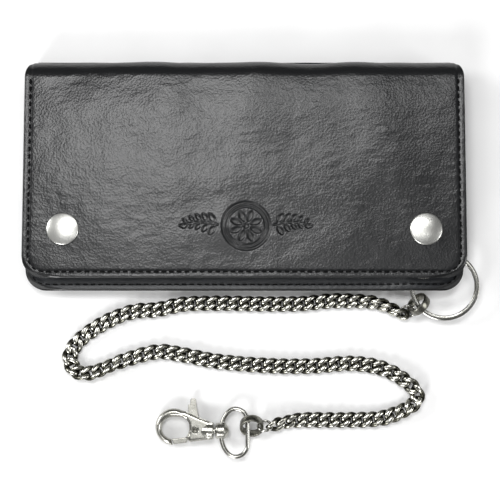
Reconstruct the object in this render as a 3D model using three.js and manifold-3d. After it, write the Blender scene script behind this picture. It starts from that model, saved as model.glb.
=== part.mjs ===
// A long folding leather wallet on a curb chain, closed and lying on its back.
// Millimetres. +X to the wallet's right, +Y towards the fold, +Z up, out of the front cover.
// The origin is under the middle of the wallet, on the surface that it lies on.

import * as THREE from 'three';
import { mergeVertices } from 'three/addons/utils/BufferGeometryUtils.js';
import Module from 'manifold-3d';

const wasm = await Module();
wasm.setup();

const degrees = THREE.MathUtils.degToRad;

// ---- driving dimensions ----

const walletWidth = 180;
const walletDepth = 95;
const foldHeight = 16;
const coverLeather = 1.5;
const liningLeather = 0.8;
const pocketLeather = 0.6;
const pieceGap = 0.3;
const coverCorner = 9;
const frontSetback = 4.6;
const backLift = 5.22;
const frontDrop = 0.8405;

const snapFromSide = 16.6;
const snapInset = 24.3;
const capRadius = 6.5;
const capRise = 0.95;

const keyRingRadius = 13.2;
const keyRingBand = 2;
const keyRingHeight = 1.6;
const keyRingInset = [8.1, 1.9];
const keyRingPlay = 0.459;
const keyRingTilt = degrees(11.5);
const eyeletBearing = degrees(135);
const eyeletBore = 5;
const eyeletFlange = 7.2;
const eyeletWall = 0.5;

const endRingRadius = 4.35;
const endRingWall = 0.9;
const endRingWidth = 3.2;
const linkRingRadius = 2.8;
const linkRingWire = 0.55;
const chainWidth = 6.4;
const chainThickness = 3.4;

const deeWire = 0.95;
const deeDepth = 10.9;
const deeHalfHeight = 9.65;
const hookThickness = 4.2;
const gatePlate = 1.3;

// ---- finishes ----

function finish(colour, roughness, metalness) {
  return new THREE.MeshStandardMaterial({ color: colour, roughness: roughness, metalness: metalness });
}

const coverFinish = finish(0x2a2c2f, 0.45, 0);
const liningFinish = finish(0x1c1c1e, 0.8, 0);
const pocketFinish = finish(0x242528, 0.6, 0);
const tapeFinish = finish(0x151517, 0.9, 0);
const nickelFinish = finish(0xc6c7c2, 0.28, 1);
const chainFinish = finish(0x8d8d86, 0.3, 1);
const springFinish = finish(0x9a9c9e, 0.35, 1);

// ---- solids ----

// A closed solid between two grids of points: under(u, v) and over(u, v) give the two faces,
// u and v being the grid's own steps across (+X) and along (+Y).
function gridSolid(across, along, under, over) {
  const positions = [];
  for (const face of [under, over]) {
    for (const v of along) {
      for (const u of across) {
        positions.push(...face(u, v));
      }
    }
  }
  const columns = across.length;
  const rows = along.length;
  const at = (side, row, column) => (side * rows + row) * columns + column;
  const index = [];
  const quad = (a, b, c, d) => index.push(a, b, c, a, c, d);
  for (let row = 0; row < rows - 1; row++) {
    for (let column = 0; column < columns - 1; column++) {
      quad(at(1, row, column), at(1, row, column + 1), at(1, row + 1, column + 1), at(1, row + 1, column));
      quad(at(0, row, column), at(0, row + 1, column), at(0, row + 1, column + 1), at(0, row, column + 1));
    }
  }
  for (let column = 0; column < columns - 1; column++) {
    const last = rows - 1;
    quad(at(0, 0, column), at(0, 0, column + 1), at(1, 0, column + 1), at(1, 0, column));
    quad(at(0, last, column + 1), at(0, last, column), at(1, last, column), at(1, last, column + 1));
  }
  for (let row = 0; row < rows - 1; row++) {
    const last = columns - 1;
    quad(at(0, row + 1, 0), at(0, row, 0), at(1, row, 0), at(1, row + 1, 0));
    quad(at(0, row, last), at(0, row + 1, last), at(1, row + 1, last), at(1, row, last));
  }
  const geometry = new THREE.BufferGeometry();
  geometry.setAttribute('position', new THREE.Float32BufferAttribute(positions, 3));
  geometry.setIndex(index);
  return geometry;
}

function toManifold(geometry) {
  const bare = geometry.clone();
  bare.deleteAttribute('normal');
  bare.deleteAttribute('uv');
  const merged = mergeVertices(bare, 1e-5);
  return new wasm.Manifold(new wasm.Mesh({
    numProp: 3,
    vertProperties: new Float32Array(merged.attributes.position.array),
    triVerts: new Uint32Array(merged.index.array),
  }));
}

function toGeometry(manifold) {
  const mesh = manifold.getMesh();
  const geometry = new THREE.BufferGeometry();
  geometry.setAttribute('position', new THREE.BufferAttribute(new Float32Array(mesh.vertProperties), 3));
  geometry.setIndex(new THREE.BufferAttribute(new Uint32Array(mesh.triVerts), 1));
  return geometry;
}

function cut(geometry, ...tools) {
  return toGeometry(tools.reduce((body, tool) => body.subtract(toManifold(tool)), toManifold(geometry)));
}

function join(geometry, ...others) {
  return toGeometry(others.reduce((body, other) => body.add(toManifold(other)), toManifold(geometry)));
}

// A solid turned about Z from [radius, height] corners that start and end on the axis, or close.
function turned(corners, steps) {
  return new THREE.LatheGeometry(corners.map(([r, z]) => new THREE.Vector2(r, z)), steps)
    .rotateX(Math.PI / 2);
}

function ringAboutZ(inner, outer, low, high, steps) {
  return turned([[inner, low], [outer, low], [outer, high], [inner, high], [inner, low]], steps);
}

function rod(radius, low, high, steps) {
  return turned([[0, low], [radius, low], [radius, high], [0, high]], steps);
}

function torus(radius, wire, steps, sides) {
  return new THREE.TorusGeometry(radius, wire, sides, steps);
}

function plate(points, low, high) {
  const shape = new THREE.Shape(points.map(([x, y]) => new THREE.Vector2(x, y)));
  return new THREE.ExtrudeGeometry(shape, { depth: high - low, bevelEnabled: false }).translate(0, 0, low);
}

function block(x0, x1, y0, y1, z0, z1) {
  return new THREE.BoxGeometry(x1 - x0, y1 - y0, z1 - z0)
    .translate((x0 + x1) / 2, (y0 + y1) / 2, (z0 + z1) / 2);
}

// Points of an arc, in degrees, including both ends.
function arc(cx, cy, rx, ry, from, to, steps) {
  const points = [];
  for (let step = 0; step <= steps; step++) {
    const turn = degrees(from + (to - from) * step / steps);
    points.push([cx + rx * Math.cos(turn), cy + ry * Math.sin(turn)]);
  }
  return points;
}

const wallet = new THREE.Group();

function part(name, geometry, material, parent = wallet) {
  const mesh = new THREE.Mesh(geometry, material);
  mesh.name = name;
  parent.add(mesh);
  return mesh;
}

// ---- where the two halves lie ----

const freeEdge = -walletDepth / 2;
const foldRadius = foldHeight / 2;
const foldLine = walletDepth / 2 - foldRadius;
const frontEdge = freeEdge + frontSetback;
const half = walletWidth / 2;
const backRise = backLift / (foldLine - freeEdge);
const frontFall = frontDrop / (foldLine - frontEdge);
const eyeletLeather = (coverLeather + pieceGap + liningLeather) / 2;

// The back half rises from the fold to its free edge; heights are above its underside.
const backPlane = (y) => backRise * (foldLine - y);
// The front half falls a little from the fold; heights are negative, below its outer face.
const frontPlane = (y) => foldHeight - frontFall * (foldLine - y);

const easeDown = (distance, full, none) => 1 - THREE.MathUtils.smoothstep(distance, full, none);

// The back cover bulges down to the table, away from the lining, everywhere but in a rim
// along its three free edges.
const rimFull = 14;
const rimNone = 42;
function rim(x, y) {
  const side = easeDown(half - Math.abs(x), rimFull, rimNone);
  const end = easeDown(y - freeEdge, rimFull, rimNone);
  return 1 - (1 - side) * (1 - end);
}

// The key ring and all that hangs from it are placed from the wallet's front right corner.
const fromCorner = (x, y, z = 0) => new THREE.Vector3(half + x, freeEdge + y, z);

// The key ring passes through the back's corner, which twists to let it lie nearly flat: the ring
// crosses the stacked leathers within the bore.
const keyRingPlace = fromCorner(-keyRingInset[0], keyRingInset[1]).toArray();
const ringAlong = new THREE.Vector2(Math.sin(eyeletBearing), -Math.cos(eyeletBearing));
const eyeletPlace = [
  keyRingPlace[0] + keyRingRadius * Math.cos(eyeletBearing),
  keyRingPlace[1] + keyRingRadius * Math.sin(eyeletBearing),
];
const twistSlope = (2 * eyeletLeather + keyRingHeight + keyRingPlay) / (2 * eyeletBore)
  - Math.tan(keyRingTilt) - backRise * ringAlong.y;
const twistReach = 12;
function twist(x, y) {
  const dx = x - eyeletPlace[0];
  const dy = y - eyeletPlace[1];
  const along = dx * ringAlong.x + dy * ringAlong.y;
  const away = Math.hypot(dx, dy) / twistReach;
  return -twistSlope * along / (1 + away ** 6);
}

// ---- leather sheets ----

const cornerSteps = 5;

// Columns across a sheet, close together in its two rounded corners.
function columnsFor(x0, x1, radius, inner) {
  const columns = [x0];
  for (let step = 1; step <= cornerSteps; step++) {
    columns.push(x0 + radius * (1 - Math.cos(Math.PI / 2 * step / cornerSteps)));
  }
  columns.push(...inner.filter((x) => x > x0 + radius + 1 && x < x1 - radius - 1));
  for (let step = cornerSteps; step >= 0; step--) {
    columns.push(x1 - radius * (1 - Math.cos(Math.PI / 2 * step / cornerSteps)));
  }
  return columns;
}

// A sheet from y0, where its corners are rounded, to y1, with faces at base + low and base + high.
// bend carries the sheet on past y1 as rows of [y, z of the low face, y, z of the high face].
function sheet({ x0, x1, y0, y1, radius, base, low, high, inner = [0], rows = [0, 1], bend = [] }) {
  const start = (x) => {
    const inset = Math.min(x - x0, x1 - x, radius);
    return y0 + radius - Math.sqrt(Math.max(0, radius ** 2 - (radius - inset) ** 2));
  };
  const along = [...rows, ...bend.map((unused, step) => 2 + step)];
  const face = (height, side) => (x, v) => {
    if (v >= 2) {
      return [x, bend[v - 2][2 * side], bend[v - 2][2 * side + 1]];
    }
    const y = start(x) + (y1 - start(x)) * v;
    return [x, y, base(x, y) + height];
  };
  return gridSolid(columnsFor(x0, x1, radius, inner), along, face(low, 0), face(high, 1));
}

const steps = (from, to, count) => Array.from(
  { length: count + 1 }, (unused, k) => from + (to - from) * k / count);

// How far each cover reaches round the fold before the spine piece takes over.
const coverTurn = 27;
const spineTurn = 30;

// Points of the fold at a turn from straight down, at a depth below its outer face.
function foldPoint(turn, depth) {
  const angle = degrees(turn);
  const radius = foldRadius - depth;
  return [foldLine + radius * Math.sin(angle), foldRadius - radius * Math.cos(angle)];
}

const coverBends = steps(9, coverTurn, 2);

part('back_cover', cut(
  sheet({
    x0: -half, x1: half, y0: freeEdge, y1: foldLine, radius: coverCorner, low: 0, high: coverLeather,
    base: (x, y) => backPlane(y) * rim(x, y) + twist(x, y),
    inner: [...steps(12 - half, 42 - half, 4), -24, 0, 24, half - 48, ...steps(half - 42, half - 10, 12)],
    rows: [...steps(0, 0.32, 9), 0.4, 0.5, 0.75, 1],
    bend: coverBends.map((turn) => [...foldPoint(turn, 0), ...foldPoint(turn, coverLeather)]),
  }),
  eyeletHole(),
), coverFinish);

const backLiningLow = coverLeather + pieceGap;
const backLiningHigh = backLiningLow + liningLeather;
part('back_lining', cut(
  sheet({
    x0: -half + 0.4, x1: half - 0.4, y0: freeEdge + 0.4, y1: foldLine - 1, radius: coverCorner - 0.4,
    low: backLiningLow, high: backLiningHigh, base: (x, y) => backPlane(y) + twist(x, y),
    inner: [0, half - 50, ...steps(half - 42, half - 10, 12)], rows: [...steps(0, 0.32, 9), 0.42, 1],
  }),
  eyeletHole(),
), liningFinish);

// ---- the eyelet that the key ring passes through ----

function eyeletFrame() {
  const slope = [-twistSlope * ringAlong.x, -twistSlope * ringAlong.y - backRise];
  const normal = new THREE.Vector3(-slope[0], -slope[1], 1).normalize();
  const frame = new THREE.Matrix4().makeRotationFromQuaternion(
    new THREE.Quaternion().setFromUnitVectors(new THREE.Vector3(0, 0, 1), normal));
  frame.setPosition(eyeletPlace[0], eyeletPlace[1], eyeletHeight());
  return frame;
}

function eyeletHeight() {
  return backPlane(eyeletPlace[1]) + eyeletLeather;
}

function eyeletHole() {
  return rod(eyeletBore + eyeletWall + 0.15, -6, 6, 32).applyMatrix4(eyeletFrame());
}

const eyeletLip = 0.35;
const eyeletSeat = 0.15;

// The barrel carries the flange under the cover; the washer sits on the lining.
part('eyelet_barrel', turned([
  [eyeletBore, -eyeletLeather + 0.1],
  [eyeletBore + eyeletWall, -eyeletLeather - eyeletSeat - eyeletLip],
  [eyeletFlange - 0.2, -eyeletLeather - eyeletSeat - eyeletLip],
  [eyeletFlange, -eyeletLeather - eyeletSeat],
  [eyeletBore + eyeletWall, -eyeletLeather - eyeletSeat],
  [eyeletBore + eyeletWall, eyeletLeather + 0.1],
  [eyeletBore, eyeletLeather - 0.1],
  [eyeletBore, -eyeletLeather + 0.1],
], 32), nickelFinish).applyMatrix4(eyeletFrame());
part('eyelet_washer', turned([
  [eyeletBore + eyeletWall + 0.3, eyeletLeather + eyeletSeat],
  [eyeletFlange, eyeletLeather + eyeletSeat],
  [eyeletFlange - 0.2, eyeletLeather + eyeletSeat + eyeletLip],
  [eyeletBore + eyeletWall + 0.3, eyeletLeather + eyeletSeat + eyeletLip],
  [eyeletBore + eyeletWall + 0.3, eyeletLeather + eyeletSeat],
], 32), nickelFinish).applyMatrix4(eyeletFrame());

// ---- pockets sewn on the lining of the back half ----

const notchFrom = 44;
const notchTo = 58;
const pocketEdge = -40;
const notchEdge = -28.6;

// The pocket layers' free edge, cut back at both ends to clear the eyelet and the studs' corners.
function pocketStart(x) {
  const across = THREE.MathUtils.smoothstep(Math.abs(x), notchFrom, notchTo);
  return pocketEdge + (notchEdge - pocketEdge) * across;
}

const pocketColumns = (reach) => [
  -reach, ...steps(-notchTo, -notchFrom, 4), ...steps(notchFrom, notchTo, 4), reach,
];

function backLayer(reach, start, end, low, high) {
  const face = (height) => (x, v) => {
    const y = start(x) + (end - start(x)) * v;
    return [x, y, backPlane(y) + height];
  };
  return gridSolid(pocketColumns(reach), [0, 1], face(low), face(high));
}

const zipLine = 27;
const zipOpening = 7;
const pocketReach = half - 4;
const dividerLow = backLiningHigh + pieceGap;
const dividerHigh = dividerLow + pocketLeather;
const coinFrontLow = dividerHigh + 0.7;
const coinFrontHigh = coinFrontLow + 1;
const fixedEdge = (y) => () => y;

const snapLine = freeEdge + snapInset;
const snapSpread = half - snapFromSide;
const studHole = 1.5;
const snapPlaces = [-snapSpread, snapSpread];
const studHoles = snapPlaces.map((x) => rod(studHole, -2, 12, 16).translate(x, snapLine, 0));

part('note_divider', backLayer(
  pocketReach, pocketStart, foldLine - 1.5, dividerLow, dividerHigh,
), pocketFinish);
part('coin_pocket_front', cut(
  backLayer(pocketReach, pocketStart, zipLine - zipOpening / 2, coinFrontLow, coinFrontHigh), ...studHoles,
), pocketFinish);
part('coin_pocket_top', backLayer(
  pocketReach, fixedEdge(zipLine + zipOpening / 2), foldLine - 2, coinFrontLow, coinFrontHigh,
), pocketFinish);

// ---- zip ----

const zipReach = half - 18;
const teethHalf = 1.3;
const tapeWidth = 1.6;
const tapeHigh = coinFrontLow + 0.7;
const teethHigh = coinFrontLow + 1.7;

function alongZip(x0, x1, y0, y1, low, high) {
  const face = (height) => (x, y) => [x, zipLine + y, backPlane(zipLine + y) + height];
  return gridSolid([x0, x1], [y0, y1], face(low), face(high));
}

const tapeFar = zipOpening / 2 - pieceGap;
part('zip_tape_lower', alongZip(-zipReach - 6, zipReach + 6, -tapeFar, -tapeFar + tapeWidth, coinFrontLow,
  tapeHigh), tapeFinish);
part('zip_tape_upper', alongZip(-zipReach - 6, zipReach + 6, tapeFar - tapeWidth, tapeFar, coinFrontLow,
  tapeHigh), tapeFinish);
part('zip_teeth', alongZip(
  -zipReach, zipReach, -teethHalf, teethHalf, coinFrontLow, teethHigh,
), nickelFinish);
const stopProud = 0.2;
for (const [name, side] of [['zip_stop_open', -1], ['zip_stop_closed', 1]]) {
  const stops = [side * (zipReach + pieceGap), side * (zipReach + 2)].sort((a, b) => a - b);
  part(name, alongZip(
    ...stops, -teethHalf - stopProud, teethHalf + stopProud, coinFrontLow, teethHigh + stopProud,
  ), nickelFinish);
}

// The slider straddles the teeth; it is drawn at the closed end, with its tab lying on the pocket.
const sliderLength = 9;
const sliderHalf = 2.6;
const sliderStart = zipReach - 1;
const sliderRoof = teethHigh + pieceGap;
const sliderTop = sliderRoof + 0.8;
part('zip_slider', join(
  alongZip(sliderStart - sliderLength, sliderStart, -sliderHalf, sliderHalf, sliderRoof, sliderTop),
  alongZip(sliderStart - sliderLength, sliderStart, -sliderHalf, -teethHalf - 0.4, tapeHigh + pieceGap,
    sliderRoof + 0.1),
  alongZip(sliderStart - sliderLength, sliderStart, teethHalf + 0.4, sliderHalf, tapeHigh + pieceGap,
    sliderRoof + 0.1),
  alongZip(sliderStart - 7, sliderStart - 6, -0.6, 0.6, sliderTop - 0.1, sliderTop + 1.2),
  alongZip(sliderStart - 3, sliderStart - 2, -0.6, 0.6, sliderTop - 0.1, sliderTop + 1.2),
  alongZip(sliderStart - 7, sliderStart - 2, -0.6, 0.6, sliderTop + 0.9, sliderTop + 1.3),
), nickelFinish);
const tabStart = sliderStart - 6.5;
part('zip_tab', cut(
  alongZip(tabStart - 20, tabStart + 2, -2.4, 2.4, sliderTop + 0.1, sliderTop + 0.75),
  alongZip(tabStart - 0.9, tabStart + 0.9, -1, 1, sliderTop - 1, sliderTop + 2),
  alongZip(tabStart - 18.5, tabStart - 15, -1.2, 1.2, sliderTop - 1, sliderTop + 2),
), nickelFinish);

// ---- the front half ----

const frontLiningHigh = -coverLeather - pieceGap;
const frontLiningLow = frontLiningHigh - liningLeather;
const frontTurn = (turn) => 180 - turn;
const capHole = 1.6;
const capHoles = snapPlaces.map((x) => rod(capHole, 0, 30, 16).translate(x, snapLine, 0));
const frontBends = coverBends.map(frontTurn);

part('front_cover', cut(
  sheet({
    x0: -half, x1: half, y0: frontEdge, y1: foldLine, radius: coverCorner, low: -coverLeather, high: 0,
    base: (x, y) => frontPlane(y),
    bend: frontBends.map((turn) => [...foldPoint(turn, coverLeather), ...foldPoint(turn, 0)]),
  }), ...capHoles,
), coverFinish);
part('front_lining', cut(
  sheet({
    x0: -half + 0.4, x1: half - 0.4, y0: frontEdge + 0.4, y1: foldLine - 1, radius: coverCorner - 0.4,
    low: frontLiningLow, high: frontLiningHigh, base: (x, y) => frontPlane(y),
  }), ...capHoles,
), liningFinish);

// Two columns of card slots, each of three stepped layers that open towards the fold.
const cardColumnInner = 2.5;
const cardColumnOuter = half - 3.5;
const cardFoot = -14.5;
const cardTop = 31.5;
const cardStep = 9;
for (const [side, sign] of [['left', -1], ['right', 1]]) {
  for (let tier = 0; tier < 3; tier++) {
    const high = frontLiningLow - pieceGap - tier * (pocketLeather + pieceGap);
    const x = [sign * cardColumnInner, sign * cardColumnOuter].sort((a, b) => a - b);
    part(`card_slot_${side}_${tier + 1}`, gridSolid(x, [cardFoot, cardTop - tier * cardStep],
      (u, v) => [u, v, frontPlane(v) + high - pocketLeather],
      (u, v) => [u, v, frontPlane(v) + high]), pocketFinish);
  }
}

// ---- the leather over the fold ----

function foldStrip(outer, thickness) {
  const turns = steps(spineTurn, frontTurn(spineTurn), 10);
  const face = (depth) => (x, turn) => {
    const [y, z] = foldPoint(turn, depth);
    return [x, y, z];
  };
  return gridSolid([-half, half], turns, face(outer), face(outer + thickness));
}

part('spine_cover', foldStrip(0, coverLeather), coverFinish);
part('spine_lining', foldStrip(backLiningLow, liningLeather), liningFinish);

// ---- two snap fasteners ----

// The socket hangs under the front's leathers and reaches down round the stud, which stands on
// the coin pocket and reaches up to the socket's roof.
const studFlange = 4;
const studPlate = coinFrontHigh + 0.8;
const snapGap = 0.5;
const snapRoom = frontPlane(snapLine) - backPlane(snapLine);
const socketSeat = -coverLeather - pieceGap - liningLeather - pieceGap;
const socketRoof = socketSeat - 0.6;
const socketEdge = studPlate + snapGap - snapRoom;
const studTop = snapRoom + socketRoof - pieceGap;
const studBall = 2.2;
const socketPlay = 0.032;
const socketBore = studBall + studTop * backRise + socketPlay;

// The cap's dome is a slice of a ball, and its rim is 0.75 mm thick.
const domeRadius = capRadius - 0.2;
const capRim = pieceGap + 0.75;
const ball = (domeRadius ** 2 + capRise ** 2) / (2 * capRise);
const domeStart = 90 - THREE.MathUtils.radToDeg(Math.asin(domeRadius / ball));
const dome = arc(0, capRim + capRise - ball, ball, ball, domeStart, 90, 6)
  .map(([r, z]) => [r < 1e-9 ? 0 : r, z]);

for (const [side, x] of [['left', -snapSpread], ['right', snapSpread]]) {
  const onFront = (geometry) => geometry.rotateX(Math.atan(frontFall))
    .translate(x, snapLine, frontPlane(snapLine));
  const onBack = (geometry) => geometry.rotateX(-Math.atan(backRise))
    .translate(x, snapLine, backPlane(snapLine));
  part(`snap_cap_${side}`, onFront(turned([
    [0, socketSeat - 0.5], [1.2, socketSeat - 0.5], [1.2, pieceGap], [capRadius - 0.3, pieceGap],
    [capRadius, capRim - 0.45], [capRadius, capRim - 0.15], ...dome,
  ], 40)), nickelFinish);
  part(`snap_socket_${side}`, onFront(turned([
    [1.5, socketRoof], [socketBore, socketRoof], [socketBore, socketEdge], [5.1, socketEdge],
    [5.6, socketEdge + 0.4], [5.6, socketSeat], [1.5, socketSeat], [1.5, socketRoof],
  ], 24)), nickelFinish);
  part(`snap_stud_${side}`, onBack(turned([
    [1.3, coinFrontHigh + pieceGap], [studFlange, coinFrontHigh + pieceGap], [studFlange, studPlate],
    [2, studPlate], [studBall, studTop - 0.6], [1.6, studTop], [0, studTop],
    [0, studTop - 0.5], [1.3, studTop - 0.5], [1.3, coinFrontHigh + pieceGap],
  ], 24)), nickelFinish);
  part(`snap_post_${side}`, onBack(turned([
    [0, dividerHigh + 0.2], [4, dividerHigh + 0.2], [4, dividerHigh + 0.48], [1, dividerHigh + 0.48],
    [1, studTop - 1], [0, studTop - 1],
  ], 20)), nickelFinish);
}

// ---- split key ring through the eyelet ----

const keyRingCentre = new THREE.Vector3(keyRingPlace[0], keyRingPlace[1], eyeletHeight());
const keyRingAxis = new THREE.Vector3(Math.cos(eyeletBearing), Math.sin(eyeletBearing), 0);
const keyRing = turned([
  [keyRingRadius - keyRingBand / 2, -keyRingHeight / 2 + 0.25],
  [keyRingRadius - keyRingBand / 2 + 0.25, -keyRingHeight / 2],
  [keyRingRadius + keyRingBand / 2 - 0.25, -keyRingHeight / 2],
  [keyRingRadius + keyRingBand / 2, -keyRingHeight / 2 + 0.25],
  [keyRingRadius + keyRingBand / 2, keyRingHeight / 2 - 0.25],
  [keyRingRadius + keyRingBand / 2 - 0.25, keyRingHeight / 2],
  [keyRingRadius - keyRingBand / 2 + 0.25, keyRingHeight / 2],
  [keyRingRadius - keyRingBand / 2, keyRingHeight / 2 - 0.25],
  [keyRingRadius - keyRingBand / 2, -keyRingHeight / 2 + 0.25],
], 64).applyMatrix4(
  new THREE.Matrix4().makeRotationAxis(keyRingAxis, -keyRingTilt).setPosition(keyRingCentre));
part('key_ring', keyRing, nickelFinish);

// ---- band rings at the chain's two ends, and the round rings that join them to it ----

// Each band ring stands on its lower rim, its axis leaning by lean from upright, towards bearing.
function bandRing(name, place, lean, bearing) {
  const axis = new THREE.Vector3(
    Math.sin(lean) * Math.cos(bearing), Math.sin(lean) * Math.sin(bearing), Math.cos(lean));
  const outer = endRingRadius + endRingWall / 2;
  const height = outer * Math.sin(lean) + endRingWidth / 2 * Math.cos(lean) + 0.02;
  const centre = place.clone().setZ(height);
  const turn = new THREE.Matrix4().makeRotationFromQuaternion(
    new THREE.Quaternion().setFromUnitVectors(new THREE.Vector3(0, 0, 1), axis)).setPosition(centre);
  part(name, ringAboutZ(outer - endRingWall, outer, -endRingWidth / 2, endRingWidth / 2, 32)
    .applyMatrix4(turn), nickelFinish);
  return { axis: axis, centre: centre };
}

// A round ring through a band ring's wall, on its side that faces the direction towards.
function linkRing(name, band, towards) {
  const across = towards.clone().addScaledVector(band.axis, -towards.dot(band.axis)).normalize();
  const centre = band.centre.clone().addScaledVector(across, endRingRadius + 1);
  const normal = across.clone().cross(band.axis);
  const turn = new THREE.Matrix4().makeBasis(across, band.axis, normal).setPosition(centre);
  part(name, torus(linkRingRadius, linkRingWire, 28, 8).applyMatrix4(turn), nickelFinish);
  return centre.clone().addScaledVector(across, linkRingRadius + linkRingWire);
}

const walletBand = bandRing('end_ring_wallet', fromCorner(-18.7, -5.5), degrees(62), degrees(139));
const hookBand = bandRing('end_ring_hook', fromCorner(-87.05, -54.9), degrees(43), degrees(-90));
linkRing('link_ring_wallet', walletBand, new THREE.Vector3(-1, 0, 0));
linkRing('link_ring_hook', hookBand, new THREE.Vector3(1, 0, 0));

// ---- curb chain, as one plain tube along its route, given from the wallet's corner ----

const chainRoute = [
  [-27.1, -8.5, 1.9], [-30.4, -6.8, 1.8], [-35.5, -4.9, 1.8], [-42.3, -4.1, 1.8], [-54.7, -4.0, 1.8],
  [-67.1, -5.1, 1.8], [-82.8, -5.2, 1.8], [-100.1, -4.9, 1.8], [-115.0, -5.3, 1.8], [-125.7, -7.5, 1.8],
  [-136.0, -8.4, 1.8], [-146.2, -12.2, 1.8], [-156.0, -18.5, 1.8], [-161.0, -24.5, 1.8],
  [-161.3, -29.5, 1.8], [-157.6, -33.4, 1.8], [-151.5, -33.1, 1.8], [-140.7, -28.8, 1.8],
  [-126.0, -24.9, 1.8], [-114.8, -26.2, 1.8], [-100.9, -28.8, 1.8], [-80.3, -30.5, 1.8],
  [-63.1, -30.7, 1.8], [-46.7, -29.6, 1.8], [-34.4, -31.3, 1.8], [-25.4, -35.8, 1.8],
  [-19.8, -41.1, 1.8], [-20.2, -45.3, 1.8], [-25.6, -48.9, 1.8], [-34.6, -52.0, 1.8],
  [-48.9, -52.6, 1.8], [-65.3, -52.6, 1.8], [-72.5, -53.1, 1.9], [-77.6, -53.9, 2.3],
];
const chainSteps = 80;
const chainSection = new THREE.Shape(arc(0, 0, chainThickness / 2, chainWidth / 2, 0, 315, 7)
  .map(([x, y]) => new THREE.Vector2(x, y)));
part('chain', new THREE.ExtrudeGeometry(chainSection, {
  steps: chainSteps, bevelEnabled: false,
  extrudePath: new THREE.CatmullRomCurve3(chainRoute.map((point) => fromCorner(...point))),
}), chainFinish);

// ---- D ring ----

const deeBar = fromCorner(-88.7, -57.7, 4.4);
const deeCorner = 5;
const eye = fromCorner(-99.4, -56.9, 3.45);

// The ring's centre line, from its straight bar at x = 0 round two corners and the bow.
function deePoints() {
  const straight = deeHalfHeight - deeCorner;
  return [
    [0, -straight / 2], [0, straight / 2],
    ...arc(-deeCorner, straight, deeCorner, deeCorner, 0, 90, 5),
    ...arc(-deeCorner, 0, deeDepth - deeCorner, deeHalfHeight, 90, 270, 16).slice(1, -1),
    ...arc(-deeCorner, -straight, deeCorner, deeCorner, 270, 360, 5),
  ];
}

const deeLean = Math.asin((deeBar.z - eye.z) / deeDepth);
part('d_ring', new THREE.TubeGeometry(
  new THREE.CatmullRomCurve3(deePoints().map(([x, y]) => new THREE.Vector3(x, y, 0)), true, 'centripetal'),
  56, deeWire, 10, true,
).rotateY(-deeLean).translate(deeBar.x, deeBar.y, deeBar.z), nickelFinish);

// ---- trigger snap hook: x runs from the swivel eye's hole (0) towards the hook's tip (-27) ----

const hook = new THREE.Group();
hook.position.copy(eye);
hook.rotation.y = -degrees(2.8);
wallet.add(hook);

const eyeRadius = 3.4;
const eyeHole = 1.7;
const neckStart = -3.2;
const neckRadius = 3.3;
const stemRadius = 1.3;
const stemGap = 0.35;
const headRadius = 2;
const chamberStart = -4.9;
const slotHalf = 1.3;
const slotSpan = [-15.5, -6.2];
const pivot = [-10.5, 0.3];
const gateReach = 10.4;
const hookFace = hookThickness / 2;
const alongX = (geometry) => geometry.rotateY(Math.PI / 2);

part('swivel_eye', cut(
  alongX(turned([
    [0, -5.95], [headRadius, -5.95], [headRadius, -5.25], [stemRadius, -5.25], [stemRadius, -2.3],
    [2.6, -2.3],
    [3.1, -2.1], [eyeRadius, -1.2], [eyeRadius, 1.4], ...arc(0, 0, eyeRadius, eyeRadius, 30, 90, 4).slice(1)
      .map(([r, z]) => [Math.abs(r) < 1e-9 ? 0 : r, z * 0.95]),
  ], 32)),
  rod(eyeHole, -6, 6, 24).rotateX(Math.PI / 2),
), nickelFinish, hook);

// The casting's outline: over the back to the loop, round it to the nose, back inside the loop,
// down the throat's end and along the belly to the neck.
const hookOutline = [
  [neckStart, 3.3], [-4.7, 3.6], [-8.8, 5.1], [-12.9, 6.9], [-15.5, 8],
  ...arc(-19.5, 1.6, 7.4, 7.4, 62, 268, 18),
  [-20.6, -3.3],
  ...arc(-19.95, 1.15, 4.45, 4.45, 255, 90, 12),
  [-16.6, 5.6], [-14.2, 4.7], [-13.1, 3], [-12.9, 0.6], [-13.2, -1.4], [-13.6, -2.5],
  [-13, -4.6], [-8.8, -4], [-4.7, -3.5], [neckStart, -3.3],
];
const pinHole = 1.3;
part('hook_body', cut(
  join(
    plate(hookOutline, -hookFace, hookFace),
    alongX(turned([
      [0, -8], [neckRadius - 1.2, -8], [neckRadius, -5.6], [neckRadius, neckStart], [0, neckStart],
    ], 28)),
  ),
  block(slotSpan[0], slotSpan[1], -7, 11, -slotHalf, slotHalf),
  alongX(rod(headRadius + stemGap, slotSpan[1] - 0.5, chamberStart, 24)),
  alongX(rod(stemRadius + stemGap, slotSpan[1], neckStart + 1, 24)),
  rod(pinHole, -6, 6, 20).translate(...pivot, 0),
), nickelFinish, hook);

// The gate and its thumb lever are one piece on the pivot pin.
const gateInner = Math.atan2(-3.6, -Math.sqrt(gateReach ** 2 - 3.6 ** 2));
const gateOuter = Math.atan2(-5.7, -Math.sqrt(gateReach ** 2 - 5.7 ** 2));
const gateEnd = [gateInner, gateOuter].map((turn) => [
  pivot[0] + gateReach * Math.cos(turn), pivot[1] + gateReach * Math.sin(turn)]);
const leverOutline = [
  [-9.4, 5.8], [-10, 9.2], [-10.4, 12.6], [-11, 13.2], [-11.9, 13.2], [-12.7, 12.6], [-12.7, 10.8],
  [-13.7, 10.4],
  [-13.5, 7.9], [-12.6, 3], [-13, 0.2], [-14.3, -2.5], [-14.3, -4.2], [-11.5, -2.7], [-9.6, -2.4],
  [-7.8, -1],
  [-7.5, 1.4], [-8.3, 3.2],
];
const gateBar = [gateEnd[0], gateEnd[1], [-14, -4.75], [-14, -2.55]];
const gateLow = -1;
part('gate_lever', cut(
  join(plate(leverOutline, gateLow, gateLow + gatePlate), plate(gateBar, -1.6, 1.6)),
  rod(pinHole + 0.1, -6, 6, 20).translate(...pivot, 0),
), nickelFinish, hook);

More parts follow.
